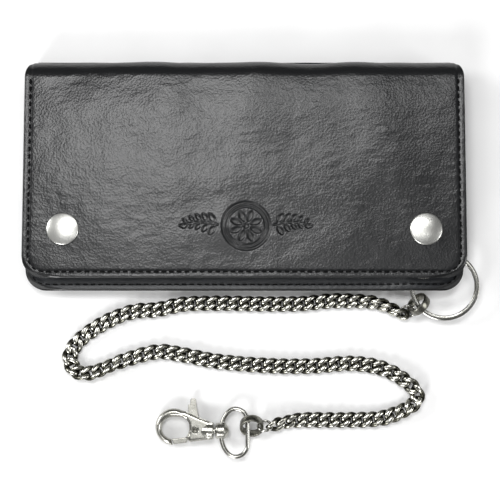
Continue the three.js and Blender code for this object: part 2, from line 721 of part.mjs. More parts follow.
part('pivot_pin', turned([
  [0, -hookFace + 0.1], [pinHole - 0.2, -hookFace + 0.1], [pinHole - 0.2, hookFace - 0.1],
  [0.7, hookFace - 0.1], [0.7, hookFace - 1.1], [0, hookFace - 1.1],
], 20).translate(...pivot, 0), nickelFinish, hook);

const springLow = gateLow + gatePlate + 0.2;
part('gate_spring', join(
  ringAboutZ(pinHole + 0.2, pinHole + 0.75, springLow, springLow + 0.6, 20),
  block(1, 3.6, pinHole + 0.25, pinHole + 0.7, springLow + 0.1, springLow + 0.5),
).translate(...pivot, 0), springFinish, hook);

export default wallet;
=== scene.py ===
import math
import bmesh
import bpy
import numpy as np
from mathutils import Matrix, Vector


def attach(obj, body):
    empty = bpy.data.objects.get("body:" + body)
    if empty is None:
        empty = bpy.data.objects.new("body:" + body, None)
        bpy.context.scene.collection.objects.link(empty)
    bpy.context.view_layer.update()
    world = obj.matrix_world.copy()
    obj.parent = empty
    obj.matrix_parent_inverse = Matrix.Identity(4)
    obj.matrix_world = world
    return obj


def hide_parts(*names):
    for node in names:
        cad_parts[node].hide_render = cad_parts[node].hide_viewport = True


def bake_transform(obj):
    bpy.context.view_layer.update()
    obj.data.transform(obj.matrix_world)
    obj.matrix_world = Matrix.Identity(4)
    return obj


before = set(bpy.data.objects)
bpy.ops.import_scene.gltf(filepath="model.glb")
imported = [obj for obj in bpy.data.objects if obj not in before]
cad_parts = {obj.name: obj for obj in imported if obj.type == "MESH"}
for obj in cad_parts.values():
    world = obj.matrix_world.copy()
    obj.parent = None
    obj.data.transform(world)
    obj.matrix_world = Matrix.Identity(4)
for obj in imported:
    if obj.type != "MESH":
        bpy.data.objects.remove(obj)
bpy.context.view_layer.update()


# ---- the view ----
# One camera almost straight above the closed wallet, leaning six degrees from the front.

view = bpy.data.objects.new("view", bpy.data.cameras.new("view"))
view.data.lens = 86.5
view.data.sensor_width = 36
view.data.clip_start = 0.01
view.location = (0.00227, -0.08236, 0.49726)
view.rotation_euler = (math.radians(6), 0, 0)
bpy.context.collection.objects.link(view)
bpy.context.scene.camera = view


# ---- the curb chain ----
# A steel curb chain of eighty-odd twisted oval links, each bent from wire 2.2 by 1.6 mm, pressed
# flat on both faces and plated in dark nickel, rubbed bright on the high faces. Its route is
# given in millimetres from the wallet's front right corner.

CORNER_POINT = np.array([90, -47.5, 0])
CHAIN_ROUTE = 0.001 * (CORNER_POINT + np.array([
    [-24.7, -9.6, 1.9], [-27.4, -8.3, 2.3], [-30.4, -6.8, 2.0], [-35.5, -4.9, 1.8], [-42.3, -4.1, 1.8],
    [-54.7, -4.0, 1.8], [-67.1, -5.1, 1.8], [-82.8, -5.2, 1.8], [-100.1, -4.9, 1.8],
    [-115.0, -5.3, 1.8], [-125.7, -7.5, 1.8], [-136.0, -8.4, 1.8], [-146.2, -12.2, 1.8],
    [-156.0, -18.5, 1.8], [-161.0, -24.5, 1.8], [-161.3, -29.5, 1.8], [-157.6, -33.4, 1.8],
    [-151.5, -33.1, 1.8], [-140.7, -28.8, 1.8], [-126.0, -24.9, 1.8], [-114.8, -26.2, 1.8],
    [-100.9, -28.8, 1.8], [-80.3, -30.5, 1.8], [-63.1, -30.7, 1.8], [-46.7, -29.6, 1.8],
    [-34.4, -31.3, 1.8], [-25.4, -35.8, 1.8], [-19.8, -41.1, 1.8], [-20.2, -45.3, 1.8],
    [-25.6, -48.9, 1.8], [-34.6, -52.0, 1.8], [-48.9, -52.6, 1.8], [-65.3, -52.6, 1.8],
    [-72.5, -53.4, 2.1], [-76.6, -54.3, 3.4], [-78.8, -54.8, 4.3]]))
LINK_PITCH = 0.0045
LINK_HALF_LENGTH = 0.0033
LINK_HALF_WIDTH = 0.0022
WIRE_ACROSS = 0.00108
WIRE_THROUGH = 0.0008
LINK_FLAT = 0.00142


def linear(code):
    """A colour as linear light: each channel over 12.92 when dark, else ((c + 0.055) / 1.055) ^ 2.4."""
    channels = [int(code[k:k + 2], 16) / 255 for k in (1, 3, 5)]
    return tuple(c / 12.92 if c <= 0.04045 else ((c + 0.055) / 1.055) ** 2.4 for c in channels) + (1,)


def add(material, kind, settings=None, inputs=None):
    """Adds one node, sets its properties, and sets or links its inputs by name or number."""
    node = material.node_tree.nodes.new(kind)
    for name, value in (settings or {}).items():
        setattr(node, name, value)
    for name, value in (inputs or {}).items():
        if isinstance(value, bpy.types.NodeSocket):
            material.node_tree.links.new(value, node.inputs[name])
        else:
            node.inputs[name].default_value = value
    return node


def empty_material(name):
    """A material with no nodes in it yet."""
    material = bpy.data.materials.new(name)
    material.use_nodes = True
    material.node_tree.nodes.clear()
    return material


def ramp(node, stops):
    """Puts a colour ramp's stops at the given places, in the given hex colours."""
    elements = node.color_ramp.elements
    while len(elements) < len(stops):
        elements.new(1)
    for element, (place, code) in zip(elements, stops):
        element.position = place
        element.color = linear(code)


def grid_faces(rows, columns, close_rows=False, close_columns=False):
    """Four-sided faces of a grid of points numbered row by row, wrapping round where it closes."""
    row = np.arange(rows if close_rows else rows - 1)[:, None]
    column = np.arange(columns if close_columns else columns - 1)[None, :]
    next_row, next_column = (row + 1) % rows, (column + 1) % columns
    corners = [row * columns + column, row * columns + next_column,
               next_row * columns + next_column, next_row * columns + column]
    return np.stack([np.broadcast_to(c, (row.size, column.size)) for c in corners], -1).reshape(-1, 4)


def new_piece(name, points, faces, material, smooth=True):
    """Puts points (in metres) and faces into a mesh object at the origin, with its finish."""
    mesh = bpy.data.meshes.new(name)
    mesh.from_pydata(np.asarray(points).reshape(-1, 3).tolist(), [], [list(f) for f in faces])
    mesh.materials.append(material)
    mesh.polygons.foreach_set("use_smooth", [smooth] * len(mesh.polygons))
    piece = bpy.data.objects.new(name, mesh)
    bpy.context.collection.objects.link(piece)
    return piece


def set_attribute(piece, name, values):
    """Stores one number for each point of a mesh."""
    piece.data.attributes.new(name, "FLOAT", "POINT").data.foreach_set("value", np.ravel(values))


def even_path(points, spacing, closed=False):
    """A Catmull-Rom curve through the points, cut into equal steps of about the spacing."""
    points = np.asarray(points, float)
    if closed:
        ring = np.concatenate([points[-1:], points, points[:2]])
    else:
        ring = np.concatenate([2 * points[:1] - points[1:2], points, 2 * points[-1:] - points[-2:-1]])
    t = np.linspace(0, 1, 24, endpoint=False)[None, :, None]
    a, b, c, d = ring[:-3, None], ring[1:-2, None], ring[2:-1, None], ring[3:, None]
    curve = 0.5 * (2 * b + (c - a) * t + (2 * a - 5 * b + 4 * c - d) * t ** 2
                   + (3 * b - a - 3 * c + d) * t ** 3)
    curve = np.concatenate([curve.reshape(-1, 3), points[:1] if closed else points[-1:]])
    along = np.concatenate([[0], np.cumsum(np.linalg.norm(np.diff(curve, axis=0), axis=1))])
    count = max(2, int(round(along[-1] / spacing)))
    places = np.linspace(0, along[-1], count + 1)
    even = np.stack([np.interp(places, along, curve[:, k]) for k in range(3)], 1)
    return even[:-1] if closed else even


def unit(vectors):
    """Vectors at length one."""
    vectors = np.asarray(vectors, float)
    return vectors / np.maximum(np.linalg.norm(vectors, axis=-1, keepdims=True), 1e-12)


chain_path = even_path(CHAIN_ROUTE, 0.0005)
chain_steps = np.linalg.norm(np.diff(chain_path, axis=0), axis=1)
chain_length = chain_steps.sum()
chain_at = np.concatenate([[0], np.cumsum(chain_steps)])
link_count = int(round((chain_length - 0.0032) / LINK_PITCH)) + 1
link_at = np.linspace(0.0016, chain_length - 0.0016, link_count)


def on_chain(values, places):
    """The path's values at the given lengths along it."""
    return np.stack([np.interp(places, chain_at, values[:, k]) for k in range(values.shape[1])], 1)


# The chain lies on its flat, and rolls up on its edge through its two tight turns and at its ends.
ROLLS = np.array([[0, 62], [0.012, 48], [0.035, 0], [0.118, 0], [0.146, 5], [0.158, 20], [0.171, 34],
                  [0.182, 14], [0.196, 0], [0.222, 0], [0.235, 5], [0.262, -4], [0.288, 0], [0.299, -18],
                  [0.308, -42], [0.318, -12], [0.330, 0], [0.352, 0], [0.362, 25], [0.370, 40]])
ROLLS[:, 0] *= chain_length / 0.372
wander = np.random.default_rng(7)
link_centre = on_chain(chain_path, link_at)
link_ahead = unit(on_chain(chain_path, np.minimum(link_at + 0.002, chain_length))
                  - on_chain(chain_path, np.maximum(link_at - 0.002, 0)))
link_roll = np.radians(np.interp(link_at, ROLLS[:, 0], ROLLS[:, 1]) + wander.normal(0, 5, link_count))
link_centre[:, 2] += 0.0014 * np.abs(np.sin(link_roll)) * (link_centre[:, 2] < 0.0025)
upright = np.array([0, 0, 1.0]) - link_ahead * link_ahead[:, 2:3]
upright = unit(upright)
sideways = np.cross(upright, link_ahead)
link_up = upright * np.cos(link_roll)[:, None] + sideways * np.sin(link_roll)[:, None]
link_side = np.cross(link_up, link_ahead)

# One link: an oval of half length a and half width b, turned about its length by 45 degrees at
# each end, so that its neighbours pass through it at right angles; the wire is a little wider
# than it is thick, and both faces are pressed flat.
around = np.linspace(0, 2 * np.pi, 28, endpoint=False)
turn = -np.pi / 4 * np.cos(around)
oval = np.stack([LINK_HALF_LENGTH * np.cos(around), LINK_HALF_WIDTH * np.sin(around) * np.cos(turn),
                 LINK_HALF_WIDTH * np.sin(around) * np.sin(turn)], 1)
oval_ahead = unit(np.roll(oval, -1, 0) - np.roll(oval, 1, 0))
oval_out = unit(oval - oval_ahead * (oval * oval_ahead).sum(1, keepdims=True))
oval_over = np.cross(oval_ahead, oval_out)
wire = np.linspace(0, 2 * np.pi, 10, endpoint=False)
link = (oval[:, None] + WIRE_ACROSS * np.cos(wire)[None, :, None] * oval_out[:, None]
        + WIRE_THROUGH * np.sin(wire)[None, :, None] * oval_over[:, None])
rubbed = np.clip((np.abs(link[..., 2]) - 0.0007) / 0.0007, 0, 1)
link[..., 2] = np.clip(link[..., 2], -LINK_FLAT, LINK_FLAT)
chain_points = (link_centre[:, None, None] + link[None, ..., 0:1] * link_ahead[:, None, None]
                + link[None, ..., 1:2] * link_side[:, None, None]
                + link[None, ..., 2:3] * link_up[:, None, None])
link_faces = grid_faces(28, 10, True, True)[:, ::-1]
chain_faces = (link_faces[None] + 280 * np.arange(link_count)[:, None, None]).reshape(-1, 4)

# Dark nickel plate on steel: a warm grey metal, near black between the links where the antique
# wash stays, and bright where the links rub.
chain_nickel = empty_material("dark nickel plate, tumbled")
place = add(chain_nickel, "ShaderNodeTexCoord").outputs["Object"]
rub = add(chain_nickel, "ShaderNodeAttribute", {"attribute_name": "rubbed"}).outputs["Fac"]
speck = add(chain_nickel, "ShaderNodeTexNoise", None, {"Vector": place, "Scale": 900.0, "Detail": 3.0})
patch = add(chain_nickel, "ShaderNodeMath", {"operation": "MULTIPLY_ADD"},
            {0: speck.outputs["Fac"], 1: 0.5, 2: rub})
tone = add(chain_nickel, "ShaderNodeValToRGB", None, {"Fac": patch.outputs[0]})
ramp(tone, [(0.22, "#25241e"), (0.6, "#7d7c71"), (0.95, "#cfcec5")])
dull = add(chain_nickel, "ShaderNodeMapRange", None,
           {"Value": patch.outputs[0], "From Min": 0.2, "From Max": 1.1, "To Min": 0.42, "To Max": 0.2})
pits = add(chain_nickel, "ShaderNodeBump", None,
           {"Height": speck.outputs["Fac"], "Strength": 0.15, "Distance": 0.0001})
metal = add(chain_nickel, "ShaderNodeBsdfPrincipled", None,
            {"Base Color": tone.outputs["Color"], "Metallic": 1.0, "Roughness": dull.outputs["Result"],
             "Normal": pits.outputs["Normal"]})
add(chain_nickel, "ShaderNodeOutputMaterial", None, {"Surface": metal.outputs["BSDF"]})

chain = new_piece("chain_links", chain_points, chain_faces, chain_nickel)
set_attribute(chain, "rubbed", np.broadcast_to(rubbed, (link_count, 28, 10)))
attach(chain, "back")
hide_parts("chain")


# ---- the back cover ----
# One hide of 1.5 mm black cowhide makes both covers and the fold between them. It is cut as two
# halves here, meeting unseen in the middle of the fold. The free edges are painted black, and a
# row of saddle stitches in a pressed groove holds the lining to it.

HALF_WIDTH = 0.090
FREE_EDGE = -0.0475
FOLD_LINE = 0.0395
FOLD_RADIUS = 0.008
CORNER = 0.009
LEATHER = 0.0015
STITCH_INSET = 0.0025
RIM_FULL, RIM_NONE = 0.014, 0.042
EYELET = np.array([0.072566, -0.036266])
TWIST_SLOPE, TWIST_REACH = 0.22, 0.012
FOLD_TAPER = 0.0042
BACK_RISE = 0.06


def smooth(value, start, end):
    """A step eased at both ends: 3 t^2 - 2 t^3 of the way from start to end."""
    t = np.clip((value - start) / (end - start), 0, 1)
    return t * t * (3 - 2 * t)


def back_plane(y):
    """The back half's slope: it rises 6% from the fold to its free edge."""
    return BACK_RISE * (FOLD_LINE - y)


def twist(x, y):
    """The corner's twist about the eyelet: a slope of 0.22 that dies away 12 mm out."""
    dx, dy = x - EYELET[0], y - EYELET[1]
    return -TWIST_SLOPE * 0.70711 * (dx + dy) / (1 + (np.hypot(dx, dy) / TWIST_REACH) ** 6)


def back_place(x, along, depth):
    """Points of the back half: flat from the free edge, then a quarter turn round the fold, with
    depth measured in from its underside."""
    y = FREE_EDGE + along
    side = 1 - smooth(HALF_WIDTH - np.abs(x), RIM_FULL, RIM_NONE)
    end = 1 - smooth(y - FREE_EDGE, RIM_FULL, RIM_NONE)
    rim = 1 - (1 - side) * (1 - end) * np.where(depth > LEATHER, 0, 1)
    flat_z = back_plane(y) * rim + twist(x, y) + depth
    turn = np.clip((y - FOLD_LINE) / FOLD_RADIUS, 0, np.pi / 2)
    fold_y = FOLD_LINE + (FOLD_RADIUS - depth) * np.sin(turn)
    fold_z = FOLD_RADIUS - (FOLD_RADIUS - depth) * np.cos(turn)
    on_flat = y <= FOLD_LINE
    return np.stack([x + 0 * y, np.where(on_flat, y, fold_y), np.where(on_flat, flat_z, fold_z)], -1)


def edge_distance(x, along):
    """Distance in from the cut outline: two straight sides, a straight end and rounded corners."""
    to_side = np.abs(x) - (HALF_WIDTH - CORNER)
    to_end = CORNER - along
    return CORNER - np.where((to_side > 0) & (to_end > 0), np.hypot(to_side, to_end),
                             np.maximum(to_side, to_end))


def outline_x(x, along, flat_length):
    """Draws the columns in to the outline: an arc at each corner of the free edge, and a shorter
    one where the ends of the fold are rounded off."""
    corner = CORNER - np.sqrt(np.maximum(0, CORNER ** 2 - np.clip(CORNER - along, 0, CORNER) ** 2))
    t = np.clip((along - flat_length) / (0.5 * np.pi * FOLD_RADIUS), 0, 1)
    taper = FOLD_TAPER * (1 - np.sqrt(1 - np.sin(t * np.pi / 2) ** 2 * 0.999))
    return x * (HALF_WIDTH - corner - taper) / HALF_WIDTH


def groove(distance):
    """The pressed channel that the stitches lie in, 0.3 mm deep and a millimetre across."""
    return 0.0003 * np.exp(-((distance - STITCH_INSET) / 0.0006) ** 2)


def slack(x, along, seed, height):
    """Broad slack in the hide: six plane waves, 22 to 70 mm long, added together, in metres."""
    waves = np.random.default_rng(seed)
    total = 0 * x
    for bearing, length, phase in zip(waves.uniform(0, np.pi, 6), waves.uniform(0.022, 0.07, 6),
                                      waves.uniform(0, 6.3, 6)):
        total = total + np.sin((x * np.cos(bearing) + along * np.sin(bearing)) * 6.283 / length + phase)
    return height * total / 2.5


def sheet_piece(name, columns, rows, outer, inner, distance, material, rounding=0.00045):
    """A closed sheet between two grids, outer(x, s, depth) and inner(x, s, depth). Both faces fall
    towards each other along a quarter circle at the cut edge, and a strip closes the edge."""
    s, x = np.meshgrid(rows, columns, indexing="ij")
    edge = distance(x, s)
    drop = rounding * (1 - np.sqrt(1 - np.clip(1 - edge / rounding, 0, 1) ** 2))
    count_s, count_x = s.shape
    top = np.arange(count_s * count_x).reshape(count_s, count_x)
    loop = np.concatenate([top[0, :-1], top[:-1, -1], top[-1, :0:-1], top[:0:-1, 0]])
    strip = np.stack([loop, np.roll(loop, -1), np.roll(loop, -1) + top.size, loop + top.size], 1)
    faces = grid_faces(count_s, count_x)
    points = np.concatenate([outer(x, s, drop).reshape(-1, 3), inner(x, s, drop).reshape(-1, 3)])
    shell = np.concatenate([faces, faces[:, ::-1] + top.size, strip])
    piece = new_piece(name, points, shell, material)
    set_attribute(piece, "edge", np.tile(np.exp(-np.ravel(edge) / 0.0005), 2))
    face_outwards(piece)
    return piece


def face_outwards(piece):
    """Turns a closed shell's faces to point out of it."""
    shell = bmesh.new()
    shell.from_mesh(piece.data)
    bmesh.ops.recalc_face_normals(shell, faces=shell.faces)
    shell.to_mesh(piece.data)
    shell.free()


def steps_between(*stops):
    """Places from the first stop to the last: stop, step, stop, step, ..., stop."""
    places = [stops[0]]
    for start, step, end in zip(stops[0:-2:2], stops[1:-1:2], stops[2::2]):
        places += list(np.linspace(start, end, max(2, int(round((end - start) / step)) + 1))[1:])
    return 0.001 * np.array(places)


def both_sides(offsets, inner):
    """Columns at the given offsets in from both edges, with the inner ones between them."""
    left = -HALF_WIDTH + offsets
    clear = np.abs(inner) < -left[-1] - 2e-4
    return np.concatenate([left, inner[clear], -left[::-1]])


def black_leather(name, deep, high, gloss, grain_mm, relief):
    """Grained black leather. Its grain is a net of rounded cells with finer pores in it, over
    wrinkles some millimetres long; the high spots carry a cooler, glossier finish, and the
    painted edge is darker and smoother."""
    leather = empty_material(name)
    place = add(leather, "ShaderNodeTexCoord").outputs["Object"]
    warp = add(leather, "ShaderNodeTexNoise", None, {"Vector": place, "Scale": 220.0, "Detail": 2.0})
    pulled = add(leather, "ShaderNodeVectorMath", {"operation": "MULTIPLY_ADD"},
                 {0: warp.outputs["Color"], 1: (0.0012, 0.0012, 0.0012), 2: place})
    cells = add(leather, "ShaderNodeTexVoronoi", {"feature": "SMOOTH_F1"},
                {"Vector": pulled.outputs[0], "Scale": 1000 / grain_mm, "Smoothness": 0.35})
    pores = add(leather, "ShaderNodeTexNoise", None,
                {"Vector": place, "Scale": 2600 / grain_mm, "Detail": 2.0})
    stretched = add(leather, "ShaderNodeMapping", None, {"Vector": place, "Scale": (0.75, 1.3, 1.0)})
    wrinkles = add(leather, "ShaderNodeTexNoise", {"noise_type": "RIDGED_MULTIFRACTAL"},
                   {"Vector": stretched.outputs[0], "Scale": 220.0, "Detail": 3.0, "Roughness": 0.55})
    broad = add(leather, "ShaderNodeTexNoise", None, {"Vector": place, "Scale": 34.0, "Detail": 3.0})
    grain = add(leather, "ShaderNodeMath", {"operation": "MULTIPLY_ADD"},
                {0: pores.outputs["Fac"], 1: 0.35, 2: cells.outputs["Distance"]})
    edge = add(leather, "ShaderNodeAttribute", {"attribute_name": "edge"}).outputs["Fac"]
    pressed = add(leather, "ShaderNodeAttribute", {"attribute_name": "pressed"}).outputs["Fac"]
    worked = add(leather, "ShaderNodeMath", {"operation": "MAXIMUM"}, {0: edge, 1: pressed})
    left_grain = add(leather, "ShaderNodeMapRange", None,
                     {"Value": worked.outputs[0], "To Min": relief, "To Max": relief * 0.3})
    left_folds = add(leather, "ShaderNodeMapRange", None,
                     {"Value": worked.outputs[0], "To Min": relief * 0.45, "To Max": relief * 0.12})
    fold = add(leather, "ShaderNodeBump", None,
               {"Height": wrinkles.outputs["Fac"], "Strength": left_folds.outputs["Result"],
                "Distance": 0.00045})
    swell = add(leather, "ShaderNodeBump", None,
                {"Height": broad.outputs["Fac"], "Strength": 0.55, "Distance": 0.0016,
                 "Normal": fold.outputs["Normal"]})
    bumps = add(leather, "ShaderNodeBump", None,
                {"Height": grain.outputs[0], "Strength": left_grain.outputs["Result"],
                 "Distance": 0.00009, "Normal": swell.outputs["Normal"]})
    mottle = add(leather, "ShaderNodeMath", {"operation": "MULTIPLY_ADD"},
                 {0: broad.outputs["Fac"], 1: 0.8, 2: grain.outputs[0]})
    tone = add(leather, "ShaderNodeValToRGB", None, {"Fac": mottle.outputs[0]})
    ramp(tone, [(0.25, deep), (0.85, high)])
    dark = add(leather, "ShaderNodeMix", {"data_type": "RGBA"},
               {"Factor": worked.outputs[0], 6: tone.outputs["Color"], 7: linear("#0e0f10")})
    dull = add(leather, "ShaderNodeMapRange", None,
               {"Value": mottle.outputs[0], "From Min": 0.2, "From Max": 0.9,
                "To Min": gloss + 0.12, "To Max": gloss})
    hide = add(leather, "ShaderNodeBsdfPrincipled", None,
               {"Base Color": dark.outputs[2], "Roughness": dull.outputs["Result"], "IOR": 1.5,
                "Normal": bumps.outputs["Normal"]})
    add(leather, "ShaderNodeOutputMaterial", None, {"Surface": hide.outputs["BSDF"]})
    return leather


cowhide = black_leather("black cowhide, pebbled and polished", "#060708", "#101113", 0.29, 0.85, 0.65)

EDGE_OFFSETS = 0.001 * np.array([0, .06, .16, .3, .45, .8, 1.3, 1.7, 2.1, 2.5, 2.9, 3.3, 3.9, 5,
                                 6.5, 9])
back_flat = FOLD_LINE - FREE_EDGE
fold_rows = 0.5 * np.pi * FOLD_RADIUS * np.linspace(0, 1, 25)
back_columns = both_sides(EDGE_OFFSETS, steps_between(-90, 3, 54, 1, 90))
back_rows = np.concatenate([
    EDGE_OFFSETS, CORNER + steps_between(0, 1, 24, 4, 78), back_flat + fold_rows])
back_rows = np.unique(np.round(back_rows, 7))


def back_outer(x, s, drop):
    """The cover's underside, with its stitch groove and its slack."""
    x = outline_x(x, s, back_flat)
    waves = slack(x, s, 3, 0.00008) * smooth(edge_distance(x, s), 0.004, 0.02)
    return back_place(x, s, np.clip(drop + groove(edge_distance(x, s)) + np.abs(waves), 0, LEATHER / 2))


def back_inner(x, s, drop):
    """The cover's flesh side."""
    return back_place(outline_x(x, s, back_flat), s, LEATHER - drop)


def apply_modifiers(piece):
    """Makes a piece's modifiers part of its mesh."""
    evaluated = piece.evaluated_get(bpy.context.evaluated_depsgraph_get())
    finished = bpy.data.meshes.new_from_object(evaluated)
    piece.modifiers.clear()
    piece.data = finished


def cut_hole(piece, radius, normal, centre):
    """Cuts a round hole right through a piece, along normal, with a many-sided drum."""
    turn = np.linspace(0, 2 * np.pi, 48, endpoint=False)
    side = unit(np.cross(normal, [0, 1.0, 0]))
    other = np.cross(normal, side)
    ring = radius * (np.cos(turn)[:, None] * side + np.sin(turn)[:, None] * other)
    drum_points = np.concatenate([centre + ring - 0.01 * normal, centre + ring + 0.01 * normal])
    drum = bpy.data.meshes.new("drum")
    walls = grid_faces(2, 48, False, True)
    drum.from_pydata(drum_points.tolist(), [],
                     [list(f) for f in walls] + [list(range(48))[::-1], list(range(48, 96))])
    cutter = bpy.data.objects.new("drum", drum)
    bpy.context.collection.objects.link(cutter)
    face_outwards(cutter)
    cut = piece.modifiers.new("hole", "BOOLEAN")
    cut.operation, cut.solver, cut.object = "DIFFERENCE", "EXACT", cutter
    apply_modifiers(piece)
    bpy.data.objects.remove(cutter)


EYELET_NORMAL = unit([TWIST_SLOPE * 0.70711, TWIST_SLOPE * 0.70711 + BACK_RISE, 1.0])
EYELET_CENTRE = np.array([EYELET[0], EYELET[1], back_plane(EYELET[1]) + 0.0013])

back_cover = sheet_piece("back_leather", back_columns, back_rows, back_outer, back_inner, edge_distance,
                         cowhide)
cut_hole(back_cover, 0.0056, EYELET_NORMAL, EYELET_CENTRE)
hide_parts("back_cover", "spine_cover")
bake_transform(back_cover)


# ---- the front cover ----
# The other half of the same hide, the face of the wallet. A brass die has pressed a flower in a
# ring between two leafy sprigs into its lower middle before it was lined.

FRONT_EDGE = -0.0429
FOLD_HEIGHT = 0.016
DIE_CENTRE = np.array([0.0007, -0.0219])
DIE_DEPTH = 0.00042


def front_plane(y):
    """The front half's slope: it falls 1% from the fold to its free edge."""
    return FOLD_HEIGHT - 0.0102 * (FOLD_LINE - y)


def front_place(x, along, depth):
    """Points of the front half: flat from its free edge, then a quarter turn down round the fold,
    with depth measured in from its face."""
    y = FRONT_EDGE + along
    turn = np.clip((y - FOLD_LINE) / FOLD_RADIUS, 0, np.pi / 2)
    fold_y = FOLD_LINE + (FOLD_RADIUS - depth) * np.sin(turn)
    fold_z = FOLD_RADIUS + (FOLD_RADIUS - depth) * np.cos(turn)
    on_flat = y <= FOLD_LINE
    return np.stack([x + 0 * y, np.where(on_flat, y, fold_y),
                     np.where(on_flat, front_plane(y) - depth, fold_z)], -1)


def leaf(x, y, cx, cy, bearing, length, width):
    """A pointed leaf: how far inside the lens width * (1 - t^2) a point is, t being its place
    along the leaf from -1 to 1."""
    along = (x - cx) * np.cos(bearing) + (y - cy) * np.sin(bearing)
    across = -(x - cx) * np.sin(bearing) + (y - cy) * np.cos(bearing)
    t = along / (length / 2)
    return width / 2 * (1 - t ** 2) - np.abs(across)


def pressed_pattern(x, y):
    """How deep the die reaches, 0 to 1: a ring, eight petals round a boss, and on each side a
    curved stem with leaves in pairs that grow smaller outwards."""
    x, y = x - DIE_CENTRE[0], y - DIE_CENTRE[1]
    radius = np.hypot(x, y)
    inside = np.maximum(0.00055 - np.abs(radius - 0.0094), 0.0004 - np.abs(radius - 0.0079))
    inside = np.maximum(inside, 0.0011 - radius)
    for k in range(8):
        bearing = np.pi / 8 + k * np.pi / 4
        inside = np.maximum(inside, leaf(x, y, 0.0043 * np.cos(bearing), 0.0043 * np.sin(bearing),
                                         bearing, 0.0052, 0.0023))
    across = np.abs(x)
    stem = 0.0016 * np.sin((across - 0.010) / 0.0165 * np.pi)
    inside = np.maximum(inside, np.where((across > 0.0112) & (across < 0.0255),
                                         0.00035 - np.abs(y - stem), -1))
    for k in range(5):
        start = 0.0122 + 0.0028 * k
        size = 1 - 0.12 * k
        height = 0.0016 * math.sin((start - 0.010) / 0.0165 * math.pi)
        for up in (1, -1):
            bearing = up * (1.0 - 0.07 * k)
            reach = 0.0026 * size + 0.0004
            inside = np.maximum(inside, leaf(
                across, y, start + reach * math.cos(bearing), height + reach * math.sin(bearing),
                bearing, 0.0046 * size, 0.0021 * size))
    inside = np.maximum(inside, leaf(across, y, 0.0256, 0.0, 0.0, 0.0034, 0.0015))
    return smooth(inside, -0.00022, 0.00028)


front_flat = FOLD_LINE - FRONT_EDGE
front_columns = both_sides(EDGE_OFFSETS, steps_between(-90, 3, -27, 0.36, 28.2, 3, 90))
front_rows = np.unique(np.round(np.concatenate([
    EDGE_OFFSETS, CORNER + steps_between(0, 0.36, 24.5, 3, 73.4), front_flat + fold_rows]), 7))


def front_distance(x, s):
    """Distance in from the front half's outline."""
    return edge_distance(x, s)


def front_outer(x, s, drop):
    """The face, with its stitch groove, its slack and the die's print."""
    x = outline_x(x, s, front_flat)
    waves = slack(x, s, 11, 0.00012) * smooth(edge_distance(x, s), 0.003, 0.02)
    y = FRONT_EDGE + s
    ridges = (0.00045 * np.exp(-((x + 0.030 + 0.1 * y) / 0.009) ** 2)
              + 0.00045 * np.exp(-((x + 0.004 - 0.2 * y) / 0.009) ** 2)
              * np.abs(y / 0.03 - 0.2).clip(0, 1)
              + 0.00035 * np.exp(-((x - 0.060 + 0.3 * y) / 0.010) ** 2))
    waves = waves - ridges * smooth(edge_distance(x, s), 0.004, 0.02)
    print_depth = DIE_DEPTH * pressed_pattern(x, FRONT_EDGE + s)
    around_die = 0.00014 * smooth(-np.hypot((x - DIE_CENTRE[0]) / 0.03,
                                            (FRONT_EDGE + s - DIE_CENTRE[1]) / 0.014), -1.25, -0.85)
    lap = -0.0002 * smooth(np.abs(x), 0.076, 0.082) * smooth(s, front_flat - 0.006, front_flat + 0.002)
    roll = (0.0005 + 3 * slack(x, s, 5, 0.00005)) * smooth(s, front_flat - 0.014, front_flat + 0.007)
    worked = groove(edge_distance(x, s)) + print_depth + around_die
    return front_place(x, s, drop + worked + waves + lap + roll)


def front_inner(x, s, drop):
    """The flesh side."""
    return front_place(outline_x(x, s, front_flat), s, LEATHER - drop)


front_cover = sheet_piece("front_leather", front_columns, front_rows, front_outer, front_inner,
                          front_distance, cowhide)
grid_s, grid_x = np.meshgrid(front_rows, front_columns, indexing="ij")
print_mark = pressed_pattern(outline_x(grid_x, grid_s, front_flat), FRONT_EDGE + grid_s)
print_mark = 0.75 * print_mark.ravel()
set_attribute(front_cover, "pressed", np.concatenate([print_mark, 0 * print_mark]))
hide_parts("front_cover")
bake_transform(front_cover)



# ---- the linings ----
# Thinner black leather, 0.8 mm, glued and sewn to both covers, and carried round inside the fold.
# Its strip along the back half's free edge stays in sight beyond the front edge.

LINING_NEAR, LINING_FAR = 0.0018, 0.0026
LINING_INSET = 0.0004

lining_hide = black_leather(
    "black lining leather, split and pigmented", "#131416", "#26282b", 0.38, 0.8, 0.6)


def lining_distance(x, s):
    """Distance in from the lining's own outline, 0.4 mm inside the cover's."""
    return edge_distance(x * HALF_WIDTH / (HALF_WIDTH - LINING_INSET), s)


def lining_x(x, s, flat):
    """The columns drawn in to the lining's outline."""
    return outline_x(x, s, flat) * (HALF_WIDTH - LINING_INSET) / HALF_WIDTH


def back_lining_face(x, s, drop):
    """The side in sight, with the stitch groove and the ripple that sewing leaves beside it."""
    ripple = 0.00012 * np.exp(-((edge_distance(x, s) - 0.0025) / 0.0016) ** 2) * np.sin(
        6.283 * (x + s) / 0.0031)
    depth = LINING_FAR - drop - 0.7 * groove(edge_distance(x, s)) + ripple
    return back_place(lining_x(x, s, back_flat), LINING_INSET + s * (1 - LINING_INSET / back_flat), depth)


def back_lining_under(x, s, drop):
    """The glued side."""
    return back_place(lining_x(x, s, back_flat), LINING_INSET + s * (1 - LINING_INSET / back_flat),
                      LINING_NEAR + drop)


def front_lining_face(x, s, drop):
    """The side in sight when the wallet is open."""
    return front_place(lining_x(x, s, front_flat), LINING_INSET + s * (1 - LINING_INSET / front_flat),
                       LINING_FAR - drop - 0.7 * groove(edge_distance(x, s)))


def front_lining_under(x, s, drop):
    """The glued side."""
    return front_place(lining_x(x, s, front_flat), LINING_INSET + s * (1 - LINING_INSET / front_flat),
                       LINING_NEAR + drop)


